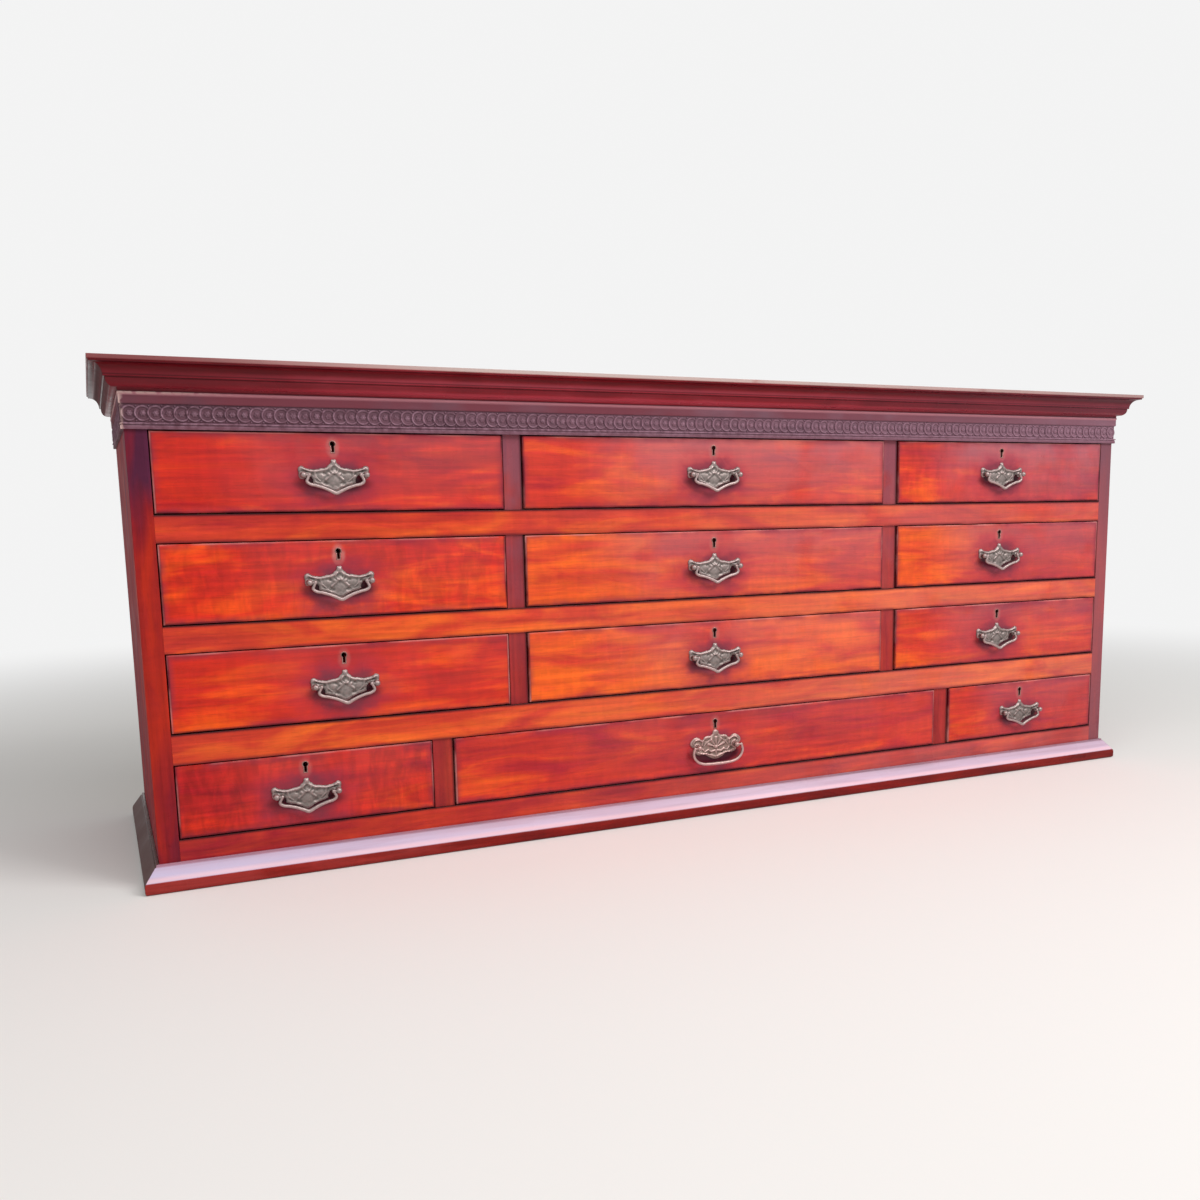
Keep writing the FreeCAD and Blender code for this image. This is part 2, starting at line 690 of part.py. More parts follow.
def make_posts(name, reach):
    """Two round posts with shanks and nuts, and the holes that a plate and a front have for them."""
    solids = []
    holes = []
    for side, sign in (("left", "-"), ("right", "")):
        x = f"{sign}{reach}"
        head = doc.addObject("Part::Sphere", f"{name}_head_{side}")
        bind(head, Radius="post_head_radius")
        place_at(head, (x, "-pivot_standoff", "0"))
        stem_length = "pivot_standoff - plate_thickness"
        stem = turned(f"{name}_stem_{side}", "post_radius", stem_length, (x, "-pivot_standoff", "0"), "y")
        shank_length = "plate_thickness + front_thickness + nut_thickness + shank_end"
        shank = turned(f"{name}_shank_{side}", "shank_radius", shank_length, (x, "-plate_thickness", "0"), "y")
        bore_at = (f"{x} - 2 * post_head_radius", "-pivot_standoff", "0")
        bore = turned(f"{name}_bore_{side}", "pin_radius + pin_clearance", "4 * post_head_radius", bore_at, "x")
        solids.append(cut(f"{name}_{side}", fuse(f"{name}_blank_{side}", [head, stem, shank]), [bore]))
        nut = doc.addObject("Part::Prism", f"{name}_nut_blank_{side}")
        nut.Polygon = 6
        bind(nut, Circumradius="nut_radius", Height="nut_thickness")
        nut.Placement = FreeCAD.Placement(V(0, 0, 0), FreeCAD.Rotation(V(1, 0, 0), -90))
        place_at(nut, (x, "front_thickness", "0"))
        solids.append(cut(f"{name}_nut_{side}", nut, [shank]))
        hole_radius = "shank_radius + shank_clearance"
        holes.append(turned(f"{name}_hole_{side}", hole_radius, shank_length, (x, "-plate_thickness", "0"), "y"))
    return solids, group(f"{name}_holes", holes)


def rounded_wire(points, radii):
    """A wire through the points with each inner corner rounded to its radius."""
    edges = []
    start = points[0]
    for index in range(1, len(points) - 1):
        corner = points[index]
        before = (points[index - 1] - corner).normalize()
        after = (points[index + 1] - corner).normalize()
        half_turn = (math.pi - before.getAngle(after)) / 2
        radius = radii[index - 1]
        reach = radius * math.tan(half_turn)
        first = corner + before * reach
        last = corner + after * reach
        inward = (before + after).normalize()
        middle = corner + inward * (radius / math.cos(half_turn) - radius)
        edges.append(Part.LineSegment(start, first).toShape())
        edges.append(Part.Arc(first, middle, last).toShape())
        start = last
    edges.append(Part.LineSegment(start, points[-1]).toShape())
    return Part.Wire(edges)


def make_bail(name, reach, drop, radius, half_shares, half_radii, pin_to):
    """A cast bail that hangs from its two pins. The path's half is given from the eye to the middle,
    as shares of reach and drop."""
    y = -sheet.get("pivot_standoff")
    half = [V(across * reach, y, up * drop) for across, up in half_shares]
    if half[-1].x > 0:
        points = half + [V(-spot.x, spot.y, spot.z) for spot in reversed(half)]
        radii = half_radii + half_radii[::-1]
    else:
        points = half + [V(-spot.x, spot.y, spot.z) for spot in reversed(half[:-1])]
        radii = half_radii + half_radii[-2::-1]
    path = rounded_wire(points, radii)
    start = (points[1] - points[0]).normalize()
    section = Part.Wire([Part.makeCircle(radius, points[0], start)])
    shape = path.makePipeShell([section], True, False)
    eye = sheet.get("bail_eye_radius")
    pin = sheet.get("pin_radius")
    for sign in (-1, 1):
        middle = V(sign * reach, y, 0)
        ball = Part.makeSphere(eye, middle)
        toward = V(sign * (pin_to - reach), 0, 0)
        rod = Part.makeCylinder(pin, toward.Length, middle, toward)
        shape = shape.fuse([ball, rod])
    bail = doc.addObject("Part::Feature", name)
    bail.Shape = shape
    return bail


def make_bails():
    """The swan-neck bail, whose pins point outwards, and the broad bail, whose pins point inwards."""
    corners = [sheet.get("bail_corner"), sheet.get("bail_hollow"), sheet.get("bail_nose")]
    pin_reach = sheet.get("post_head_radius") - sheet.get("pin_end_gap")
    swan = make_bail(
        "swan_bail", sheet.get("bail_reach"), sheet.get("bail_drop"), sheet.get("bail_radius"),
        [(1, 0), (0.97, -0.56), (0.74, -0.68), (0, -1.03)], corners,
        sheet.get("post_reach") + pin_reach,
    )
    curves = [sheet.get("broad_bail_corner"), sheet.get("broad_bail_corner")]
    broad = make_bail(
        "broad_bail", sheet.get("broad_bail_reach"), sheet.get("broad_bail_drop"),
        sheet.get("broad_bail_radius"), [(1, 0), (1.06, -0.5), (0.66, -1)], curves,
        sheet.get("broad_post_reach") - pin_reach,
    )
    return swan, broad


def drawer_place(row, column):
    return column_centre(row, column), FRONT, SILL_OF[row]


def make_drawers():
    """Every piece of the twelve drawers, by its node's name."""
    posts, holes = make_posts("post", "post_reach")
    broad_posts, broad_holes = make_posts("broad_post", "broad_post_reach")
    wing = make_plate(
        "wing_plate", WING_SHARES, "wing_width", "wing_height", BOSS_SHARES, "boss_width", "boss_height", holes
    )
    cartouche = make_plate(
        "cartouche_plate", CARTOUCHE_SHARES, "cartouche_width", "cartouche_height",
        SHELL_SHARES, "shell_width", "shell_height", broad_holes,
    )
    swan, broad = make_bails()
    handles = {
        "swan": (swan, [wing] + posts, holes),
        "broad": (broad, [cartouche] + broad_posts, broad_holes),
    }
    # Kind of drawer, its opening's width and height, how far down the bail's axis is, and its handle
    kinds = {
        "outer": ("outer_column", "row_opening", "pull_drop", "swan"),
        "middle": (middle_column("r1"), "row_opening", "pull_drop", "swan"),
        "low_outer": ("low_outer_column", "low_opening", "low_pull_drop", "swan"),
        "low_middle": (middle_column("r4"), "low_opening", "low_pull_drop", "broad"),
    }
    made = {}
    for kind, (width, opening, drop, handle) in kinds.items():
        bail, fixed, drilled = handles[handle]
        at = ("pull_shift", "0", f"{opening} - {drop}")
        front, box_pieces, fittings = make_drawer(kind, width, opening, group(f"{kind}_holes", [drilled], at))
        plate = group(f"{kind}_handle", fixed, at)
        made[kind] = {
            "drawer_front": [front],
            "drawer_box": box_pieces,
            "hardware": fittings + [plate],
            "bail": [group(f"{kind}_bail", [bail], at)],
        }
    nodes = {}
    for row in ROWS:
        for column in COLUMNS:
            kind = "middle" if column == "c2" else "outer"
            kind = f"low_{kind}" if row == "r4" else kind
            for piece, members in made[kind].items():
                name = f"{piece}_{row}{column}"
                nodes[name] = group(name, members, drawer_place(row, column))
    return nodes


def write_parts(nodes):
    """Checks every object and sub-part, then writes each sub-part to its own file."""
    doc.recompute()
    for thing in doc.Objects:
        if "Invalid" in thing.State or "Error" in thing.State:
            raise RuntimeError(f"{thing.Name} failed: {thing.State}")
    for name, thing in nodes.items():
        thing.Label = name
        shape = thing.Shape
        if shape.isNull() or not shape.isValid() or not shape.Solids:
            raise RuntimeError(f"{name} has no sound solid")
    for name, thing in nodes.items():
        thing.Shape.exportStep(f"parts/{name}.step")
        print(name, len(thing.Shape.Solids), round(thing.Shape.Volume))


all_nodes = make_carcase()
all_nodes.update(make_drawers())
write_parts(all_nodes)
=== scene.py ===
# The bank of twelve drawers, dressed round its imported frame: softened boards, run mouldings,
# a carved frieze, cast handles, and the finishes of each.
# Metres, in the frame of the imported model: +Z is up and the drawers open towards -Y.

import json
import math

import bmesh
import bpy
import numpy as np
from mathutils import Matrix, Vector

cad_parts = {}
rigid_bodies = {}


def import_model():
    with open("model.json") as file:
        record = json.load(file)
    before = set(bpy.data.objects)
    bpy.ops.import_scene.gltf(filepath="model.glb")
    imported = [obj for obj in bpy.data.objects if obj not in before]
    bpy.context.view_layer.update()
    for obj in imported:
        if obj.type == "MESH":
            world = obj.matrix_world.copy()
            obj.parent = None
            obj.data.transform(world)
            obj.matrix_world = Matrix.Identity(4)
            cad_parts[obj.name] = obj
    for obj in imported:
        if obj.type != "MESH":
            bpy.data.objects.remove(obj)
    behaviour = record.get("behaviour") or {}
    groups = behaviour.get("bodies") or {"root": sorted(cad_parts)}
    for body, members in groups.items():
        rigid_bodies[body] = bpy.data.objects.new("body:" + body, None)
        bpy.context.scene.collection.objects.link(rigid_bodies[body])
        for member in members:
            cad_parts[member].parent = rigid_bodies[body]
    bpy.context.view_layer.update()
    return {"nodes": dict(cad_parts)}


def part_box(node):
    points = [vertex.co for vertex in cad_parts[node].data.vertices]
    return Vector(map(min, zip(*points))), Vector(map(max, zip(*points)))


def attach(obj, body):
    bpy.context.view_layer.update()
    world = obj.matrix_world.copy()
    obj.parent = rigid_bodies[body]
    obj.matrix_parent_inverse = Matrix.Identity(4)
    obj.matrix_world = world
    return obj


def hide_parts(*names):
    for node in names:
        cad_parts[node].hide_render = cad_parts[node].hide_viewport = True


for leftover in list(bpy.data.objects):
    bpy.data.objects.remove(leftover)
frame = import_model()

MM = 0.001
NEAR = 0.05 * MM
DOUBLES = 0.01 * MM
QUARTER_TURN = math.pi / 2
# Angles between faces, in degrees: of one flat face, of a smoothed edge and of a sharp arris
FLAT_ANGLE = 1
GENTLE_ANGLE = 35.0
SHARP_ANGLE = 50

# Places read from the frame
SIDE_LOW, SIDE_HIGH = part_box("side_left")
FRONT = SIDE_LOW.y
BACK = SIDE_HIGH.y
HALF = -SIDE_LOW.x
DEPTH = BACK - FRONT
CORNICE_LOW, CORNICE_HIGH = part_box("cornice")
BASE_LOW, BASE_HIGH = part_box("base_moulding")
FRIEZE_LOW, FRIEZE_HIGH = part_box("frieze")
FRIEZE_TOP = CORNICE_LOW.z
ROWS = ("r1", "r2", "r3", "r4")
COLUMNS = ("c1", "c2", "c3")
DRAWERS = [row + column for row in ROWS for column in COLUMNS]
# The long bottom drawer, whose handle is the broad one
BROAD_DRAWER = "r4c2"

# How orange the old polish has gone at the left and the right end of each front, and how far the
# lower half is warmer than the upper, as judged: 0 is crimson and 1 is orange.
FRONT_WARMTH = {
    "r1c1": (0.38, 0.34, 0.24), "r1c2": (0.46, 0.44, 0.12), "r1c3": (0.50, 0.22, 0.20),
    "r2c1": (0.56, 0.60, 0.24), "r2c2": (0.74, 0.44, 0.05), "r2c3": (0.80, 0.30, 0.08),
    "r3c1": (0.52, 0.52, 0.24), "r3c2": (0.80, 0.70, 0.22), "r3c3": (0.62, 0.30, 0.05),
    "r4c1": (0.24, 0.27, 0.10), "r4c2": (0.38, 0.28, 0.12), "r4c3": (0.44, 0.27, 0.10),
}

# How far a pinkish haze, of dust and painted sheen, lies over the upper middle of each front
FRONT_HAZE_AND_SHEEN = {
    "r1c1": 0.18, "r1c2": 0.36, "r1c3": 0.54, "r2c1": 0.08, "r2c2": 0.28, "r2c3": 0.36,
    "r3c1": 0.07, "r3c2": 0.22, "r3c3": 0.28, "r4c1": 0.08, "r4c2": 0.10, "r4c3": 0.26,
}
# Boards with ribbon figure across the grain, and how strong it is
RIBBONED = {"r4c1": 0.18, "r2c1": 0.13, "r1c3": 0.09}
# How far the wood round each keyhole is rubbed pale by keys
KEY_WEAR = {"r2c1": 0.62, "r1c1": 0.4, "r1c2": 0.3}


# Modelling


def linked(name, data):
    """A new object of the scene."""
    item = bpy.data.objects.new(name, data)
    bpy.context.scene.collection.objects.link(item)
    return item


def begin(primitive, name, **settings):
    """Adds a primitive with everything else deselected, and opens it for editing, all selected."""
    bpy.ops.object.select_all(action="DESELECT")
    primitive(**settings)
    piece = bpy.context.object
    piece.name = name
    bpy.ops.object.mode_set(mode="EDIT")
    bpy.ops.mesh.select_mode(type="VERT")
    bpy.ops.mesh.select_all(action="SELECT")
    return piece


def choose(piece, kind, test):
    """Selects, in edit mode, the vertices, edges or faces that pass a test."""
    bpy.ops.mesh.select_all(action="DESELECT")
    bpy.ops.mesh.select_mode(type=kind)
    mesh = bmesh.from_edit_mesh(piece.data)
    for item in {"VERT": mesh.verts, "EDGE": mesh.edges, "FACE": mesh.faces}[kind]:
        if test(item):
            item.select_set(True)
    mesh.select_flush_mode()
    bmesh.update_edit_mesh(piece.data)


def make_active(piece):
    """Closes editing and makes a piece the only one selected."""
    if bpy.context.object and bpy.context.object.mode != "OBJECT":
        bpy.ops.object.mode_set(mode="OBJECT")
    bpy.ops.object.select_all(action="DESELECT")
    bpy.context.view_layer.objects.active = piece
    piece.select_set(True)


def reopen(piece):
    """Puts a piece's place into its mesh and opens it for editing, all selected."""
    make_active(piece)
    bpy.ops.object.transform_apply()
    bpy.ops.object.mode_set(mode="EDIT")
    bpy.ops.mesh.select_all(action="SELECT")


def draw_out(step):
    """Extrudes what is selected by a step."""
    bpy.ops.mesh.extrude_region_move(TRANSFORM_OT_translate={"value": step})


def face_outwards():
    """Merges the doubles of the mesh in editing and turns all its faces outwards."""
    bpy.ops.mesh.select_all(action="SELECT")
    bpy.ops.mesh.remove_doubles(threshold=DOUBLES)
    bpy.ops.mesh.normals_make_consistent(inside=False)


def modify(piece, kind, **settings):
    """Adds a modifier and applies it."""
    make_active(piece)
    modifier = piece.modifiers.new(kind.lower(), kind)
    for name, value in settings.items():
        setattr(modifier, name, value)
    bpy.ops.object.modifier_apply(modifier=modifier.name)


def settle(piece, smooth=GENTLE_ANGLE):
    """Closes editing, puts the piece's place into its mesh and smooths its gentle edges."""
    make_active(piece)
    bpy.ops.object.transform_apply()
    bpy.ops.object.shade_smooth_by_angle(angle=math.radians(smooth))
    return piece


def even_shading(piece):
    """Keeps the wide faces flat where they meet a rounded arris."""
    modify(piece, "WEIGHTED_NORMAL", keep_sharp=True, weight=100)


def joined(pieces, name):
    bpy.context.view_layer.update()
    make_active(pieces[0])
    for piece in pieces:
        piece.select_set(True)
    bpy.ops.object.join()
    pieces[0].name = name
    return pieces[0]


def dress(piece, body, material):
    """Gives a finished piece its material and the body that it rides on."""
    piece.data.materials.clear()
    piece.data.materials.append(material)
    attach(piece, body)
    return piece


def placed_copy(master, name, at):
    """A copy with its own mesh, moved to its place."""
    piece = linked(name, master.data.copy())
    piece.data.transform(Matrix.Translation(at))
    return piece


def edited_node(node, name):
    """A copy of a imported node, merged and with its flat faces made whole, open for editing."""
    piece = linked(name, frame["nodes"][node].data.copy())
    reopen(piece)
    bpy.ops.mesh.remove_doubles(threshold=DOUBLES)
    bpy.ops.mesh.dissolve_limited(angle_limit=math.radians(FLAT_ANGLE))
    return piece


def is_sharp(edge):
    return len(edge.link_faces) == 2 and edge.calc_face_angle(0) > math.radians(SHARP_ANGLE)


def softened_node(node, name, width, on_arris):
    """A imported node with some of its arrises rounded, as sanding and wear leave them."""
    piece = edited_node(node, name)
    choose(piece, "EDGE", lambda edge: is_sharp(edge) and on_arris(*edge.verts))
    bpy.ops.mesh.bevel(offset=width, segments=3, clamp_overlap=True)
    settle(piece)
    even_shading(piece)
    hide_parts(node)
    return piece


def bow(start, passed, end, steps):
    """Points after the start on a smooth bow to the end, through a passed point at half way."""
    points = []
    for step in range(1, steps + 1):
        t = step / steps
        points.append(tuple(
            (1 - t) * (1 - 2 * t) * a + 4 * t * (1 - t) * b + t * (2 * t - 1) * c
            for a, b, c in zip(start, passed, end)
        ))
    return points


def traced(shares, across, up, steps):
    """An outline from shares of two sizes. A third entry is a point that a bow passes."""
    points = [(shares[0][0] * across, shares[0][1] * up)]
    for share in shares[1:]:
        end = (share[0] * across, share[1] * up)
        if len(share) == 2:
            points.append(end)
        else:
            passed = (share[2][0] * across, share[2][1] * up)
            points += bow(points[-1], passed, end, steps)
    return points


# Materials

# Old French polish over mahogany, reddened by age
POLISH_TONES = ("#A81C2C", "#CE3622", "#F46418")
LEFT_POLISH_TONES = ("#A8141E", "#D02C14", "#FA5E0C")
RAIL_TONES = ("#A2202A", "#CE3E26", "#F06A24")
STILE_TONES = ("#55203A", "#8A1C24", "#B22A1A")
DIVIDER_TONES = ("#7C1A2A", "#A02C2A", "#BE402C")
BASE_TONES = ("#5E0A0C", "#84160F", "#A23430")
DARK_TONES = ("#660C16", "#961A26", "#B43C48")
FRIEZE_TONES = ("#432A35", "#62414C", "#7E5966")
GRIME = "#7C2A40"
# Pale worn wood, which also stands for a painted highlight on the top arris of each front
BARE_WOOD_AND_HIGHLIGHT = "#E0908A"
# Thin gloss of the wood that hands have polished
HANDLED_COAT = {"Coat_Weight": 0.06, "Coat_Roughness": 0.18}
# Setting of a ramp that starts and ends softly
SOFT = {"interpolation_type": "SMOOTHSTEP"}


def colour(code):
    """An sRGB hex value as linear light."""
    channels = [int(code[place:place + 2], 16) / 255 for place in (1, 3, 5)]
    linear = [c / 12.92 if c <= 0.04045 else ((c + 0.055) / 1.055) ** 2.4 for c in channels]
    return (*linear, 1.0)


def add(tree, kind, inputs=(), **settings):
    """Adds a node with its settings. Its inputs are named, or in the order of its open sockets.
    Each is a value, a hex colour, or a node or socket to link from."""
    item = tree.nodes.new("ShaderNode" + kind)
    for name, value in settings.items():
        setattr(item, name, value)
    sockets = [socket for socket in item.inputs if socket.enabled]
    if isinstance(inputs, dict):
        named = {socket.name: socket for socket in sockets}
        sockets = [named[name] for name in inputs]
        inputs = inputs.values()
    for socket, value in zip(sockets, inputs):
        if isinstance(value, bpy.types.Node):
            value = next(found for found in value.outputs if found.enabled)
        if isinstance(value, bpy.types.NodeSocket):
            tree.links.new(value, socket)
        else:
            socket.default_value = colour(value) if isinstance(value, str) else value
    return item


def new_material(name):
    """An empty material, its tree, and the place on an object that patterns are read at."""
    material = bpy.data.materials.new(name)
    material.use_nodes = True
    tree = material.node_tree
    tree.nodes.clear()
    return material, tree, add(tree, "TexCoord").outputs["Object"]


def sized(grain, along, across):
    """Sizes along X, Y and Z of a pattern drawn out along the grain, in millimetres."""
    return [along if axis == grain else across for axis in "xyz"]


def blotches(tree, point, sizes, seed, detail=2.0, distortion=0.0):
    """Noise whose blotches have the given sizes in millimetres along X, Y and Z."""
    scale = [1 / (size * MM) for size in sizes]
    shift = (seed, 1.7 * seed, 2.3 * seed)
    spot = add(tree, "Mapping", {"Vector": point, "Scale": scale, "Location": shift})
    noise = {"Vector": spot, "Scale": 1.0, "Detail": detail, "Distortion": distortion}
    return add(tree, "TexNoise", noise)


def aside(tree):
    """How far a face is turned to the left or the right, from 0 to 1."""
    normal = add(tree, "SeparateXYZ", [add(tree, "TexCoord").outputs["Normal"]])
    return add(tree, "Math", [normal.outputs["X"]], operation="ABSOLUTE")


def worn(tree, base, tone, *masks):
    """Lays a tone over a colour, as strongly as its masks and shares say together."""
    total = masks[0]
    for mask in masks[1:]:
        total = add(tree, "Math", (total, mask), operation="MULTIPLY")
    return add(tree, "Mix", (total, base, tone), data_type="RGBA")


def shaded(tree, wood, *shades):
    """A colour made lighter or darker by each of some shades."""
    for shade in shades:
        wood = add(tree, "Mix", (1, wood, shade), data_type="RGBA", blend_type="MULTIPLY")
    return wood


def patches(tree, point, size, seed, low=0.35, high=0.6):
    """A mask that comes and goes in patches of a size in millimetres."""
    return add(tree, "MapRange", (blotches(tree, point, [size] * 3, seed, 3.0), low, high))


def away_from(tree, point, centre, reach):
    """Distance on a face to the front from a centre in x and z. It is 1 on an oval whose half
    sizes are given in millimetres."""
    scale = (1 / (reach[0] * MM), 0, 1 / (reach[1] * MM))
    shift = (-centre[0] * scale[0], 0, -centre[1] * scale[2])
    spot = add(tree, "Mapping", {"Vector": point, "Scale": scale, "Location": shift})
    return add(tree, "VectorMath", [spot], operation="LENGTH")


def oval(tree, point, centre, reach):
    """A soft-edged oval mask round a centre."""
    away = away_from(tree, point, centre, reach)
    return add(tree, "MapRange", (away, 0.6, 1.15, 1, 0), **SOFT)


def lines_at(tree, value, places, width):
    """A mask of soft thin lines where a value is near any of some places."""
    total = 0
    for place in places:
        offset = add(tree, "Math", (value, place), operation="SUBTRACT")
        reach = add(tree, "Math", [offset], operation="ABSOLUTE")
        line = add(tree, "MapRange", (reach, 0, width, 1, 0), **SOFT)
        total = add(tree, "Math", (total, line), operation="MAXIMUM")
    return total


def figure(tree, point, grain, seed, tones, warmth, curl=0.035):
    """Mahogany under old polish. Returns its colour and its surface height. Patches drift between
    three tones, fine streaks and open pores run with the grain, and a soft ribbon crosses it."""
    deep, red, warm = tones
    patch = blotches(tree, point, sized(grain, 120, 26), seed, 5.0, 0.9)
    drift = add(tree, "Math", (patch, 1.6, -0.8), operation="MULTIPLY_ADD")
    tone = add(tree, "Math", (drift, warmth), operation="ADD")
    lower = add(tree, "MapRange", (tone, 0, 0.5))
    upper = add(tree, "MapRange", (tone, 0.5, 1))
    wood = worn(tree, worn(tree, deep, red, lower), warm, upper)
    # Broad streaks of late wood 6 mm apart, and finer ones between them
    streak = blotches(tree, point, sized(grain, 190, 6), seed + 7, 5.0, 0.6)
    streaks = add(tree, "MapRange", (streak, 0.3, 0.7, 0.8, 1.15))
    # Real pores are 0.2 mm wide, drawn as 1 mm so that they show
    pore = blotches(tree, point, sized(grain, 16, 1.0), seed + 11, 2.0)
    pores = add(tree, "MapRange", (pore, 0.55, 0.75, 1, 0.8))
    # Ribbon figure: soft bars across the grain, 9 mm wide, strong in some boards only
    ribbon = blotches(tree, point, sized(grain, 9, 30), seed + 13, 2.0, 0.5)
    ribbons = add(tree, "MapRange", (ribbon, 0.35, 0.65, 1 - curl, 1 + curl))
    height = add(tree, "Math", (streak, 0.4, pores), operation="MULTIPLY_ADD")
    return shaded(tree, wood, streaks, pores, ribbons), height


def surface(tree, point, wood, height, seed, gloss=(0.2, 0.42), depth=0.06, dull_ends=0.0,
            **constants):
    """A Principled surface: handled polish, shinier and duller in smears, with a shallow grain.
    Faces to the left and right, which nobody polishes, may be duller."""
    smear = blotches(tree, point, (60, 60, 45), seed + 17, 3.0, 0.5)
    rough = add(tree, "MapRange", (smear, 0.3, 0.7, *gloss))
    if dull_ends:
        duller = add(tree, "MapRange", (aside(tree), 0.35, 0.7, 0, dull_ends))
        rough = add(tree, "Math", (rough, duller), operation="ADD")
    bump = add(tree, "Bump", {"Height": height, "Strength": 0.35, "Distance": depth * MM})
    shader = add(tree, "BsdfPrincipled", {"Base Color": wood, "Roughness": rough, "Normal": bump})
    constants = {"IOR": 1.5, "Specular_IOR_Level": 0.14, **constants}
    for name, value in constants.items():
        shader.inputs[name.replace("_", " ")].default_value = value
    add(tree, "OutputMaterial", [shader])


def top_finish():
    """French-polished mahogany top: faded by light, and dulled over an open grain."""
    material, tree, point = new_material("faded_top")
    wood, height = figure(tree, point, "x", 15.8, ("#4A1A1C", "#6B2A2A", "#874038"), 0.5)
    surface(tree, point, wood, height, 15.8, (0.36, 0.44), Coat_Weight=0.06, Coat_Roughness=0.16)
    return material


def drawer_front_finish(drawer, number):
    """French-polished mahogany drawer front: warmer at one end, under dust and a painted sheen,
    rubbed bare along its arrises with a painted highlight on the top one, darkened by hands and
    metal polish round the handle, and given painted shade below the plate and in the gaps."""
    low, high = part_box(f"drawer_front_{drawer}")
    grip_low, grip_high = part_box(f"bail_{drawer}")
    middle = (grip_low.x + grip_high.x) / 2
    broad = drawer == BROAD_DRAWER
    left, right, drop = FRONT_WARMTH[drawer]
    seed = 5.3 * number
    material, tree, point = new_material(f"polished_front_{drawer}")
    x, _, z = add(tree, "SeparateXYZ", [point]).outputs
    lengthwise = add(tree, "MapRange", (x, low.x, high.x, left, right))
    downwards = add(tree, "MapRange", (z, low.z, high.z, drop / 2, -drop / 2))
    warmth = add(tree, "Math", (lengthwise, downwards), operation="ADD")
    tones = LEFT_POLISH_TONES if drawer.endswith("c1") else POLISH_TONES
    wood, height = figure(tree, point, "x", seed, tones, warmth, RIBBONED.get(drawer, 0.05))
    # Dusty haze with a painted sheen, thickest along the top and a third of the way in from the
    # right
    rise = add(tree, "MapRange", (z, low.z, high.z, 0.35, 1))
    centre = ((low.x + 2 * high.x) / 3, (low.z + high.z) / 2)
    haze_and_sheen = oval(tree, point, centre, ((high.x - low.x) / 2 / MM, 900))
    haze_and_sheen = add(tree, "Math", (haze_and_sheen, 0.85, 0.15), operation="MULTIPLY_ADD")
    haze_and_sheen_tone = "#A27A86" if drawer.endswith("c3") else "#B09098"
    cloudy = patches(tree, point, 70, seed + 9, 0.1, 0.5)
    wood = worn(tree, wood, haze_and_sheen_tone, haze_and_sheen, rise, FRONT_HAZE_AND_SHEEN[drawer], cloudy)
    # Ragged halo of grime round the handle, about 62 mm to each side and 40 mm up and down
    away = away_from(tree, point, (middle, grip_high.z - 8 * MM), (62, 40))
    ragged = blotches(tree, point, (26, 26, 18), seed + 21, 3.0)
    away = add(tree, "Math", (ragged, 0.9, away), operation="MULTIPLY_ADD")
    for reach, share, tone in ((1.7, 0.8, "#A42E44"), (1.25, 0.9, "#6E3442")):
        halo = add(tree, "MapRange", (away, 0.7, reach, share, 0), **SOFT)
        wood = worn(tree, wood, tone, halo)
    # Painted contact shade, over old polish and dirt, below the plate and in its openings
    under, tall = (14, 15) if broad else (12, 10)
    contact_shade = oval(tree, point, (middle, grip_high.z - under * MM), (43, tall))
    wood = worn(tree, wood, "#360C1A", contact_shade, 0.85)
    if not broad:
        for side in (-1, 1):
            shaded_opening = (middle + side * 27 * MM, grip_high.z - 6 * MM)
            wood = worn(tree, wood, "#260810", oval(tree, point, shaded_opening, (7, 6)), 0.85)
    # Wood rubbed pale round the keyhole by keys, and below it down to the plate
    rubbed = oval(tree, point, (middle, high.z - 15.5 * MM), (8, 12.5))
    spotty = patches(tree, point, 9, seed + 15, 0.2, 0.5)
    wood = worn(tree, wood, "#BE827C", rubbed, KEY_WEAR.get(drawer, 0.24), spotty)
    # Distances in from the ends, the top and the foot of the face
    offset = add(tree, "Math", (x, (low.x + high.x) / 2), operation="SUBTRACT")
    offset = add(tree, "Math", [offset], operation="ABSOLUTE")
    from_end = add(tree, "Math", ((high.x - low.x) / 2, offset), operation="SUBTRACT")
    from_top = add(tree, "Math", (high.z, z), operation="SUBTRACT")
    from_foot = add(tree, "Math", (z, low.z), operation="SUBTRACT")
    upper_edge = add(tree, "Math", (from_end, from_top), operation="MINIMUM")
    lower_edge = add(tree, "Math", (from_end, from_foot), operation="MINIMUM")
    edge = add(tree, "Math", (upper_edge, lower_edge), operation="MINIMUM")
    dirt = add(tree, "MapRange", (edge, 0, 10 * MM, 0.6, 0), **SOFT)
    wood = worn(tree, wood, GRIME, dirt, patches(tree, point, 34, seed + 2))
    # Painted shade of the gap darkens the ends and the foot. The top arris is rubbed to pale wood,
    # with a painted highlight.
    gap_shade = add(tree, "MapRange", (lower_edge, 0.5 * MM, 3.4 * MM, 0.85, 0), **SOFT)
    wood = worn(tree, wood, "#4A0A1A", gap_shade, patches(tree, point, 50, seed + 6, 0.2, 0.5))
    rub_and_highlight = add(tree, "MapRange", (upper_edge, 0.9 * MM, 2.2 * MM, 0.55, 0))
    wood = worn(tree, wood, BARE_WOOD_AND_HIGHLIGHT, rub_and_highlight, patches(tree, point, 60, seed + 4, 0.42, 0.6))
    surface(tree, point, wood, height, seed, **HANDLED_COAT)
    return material


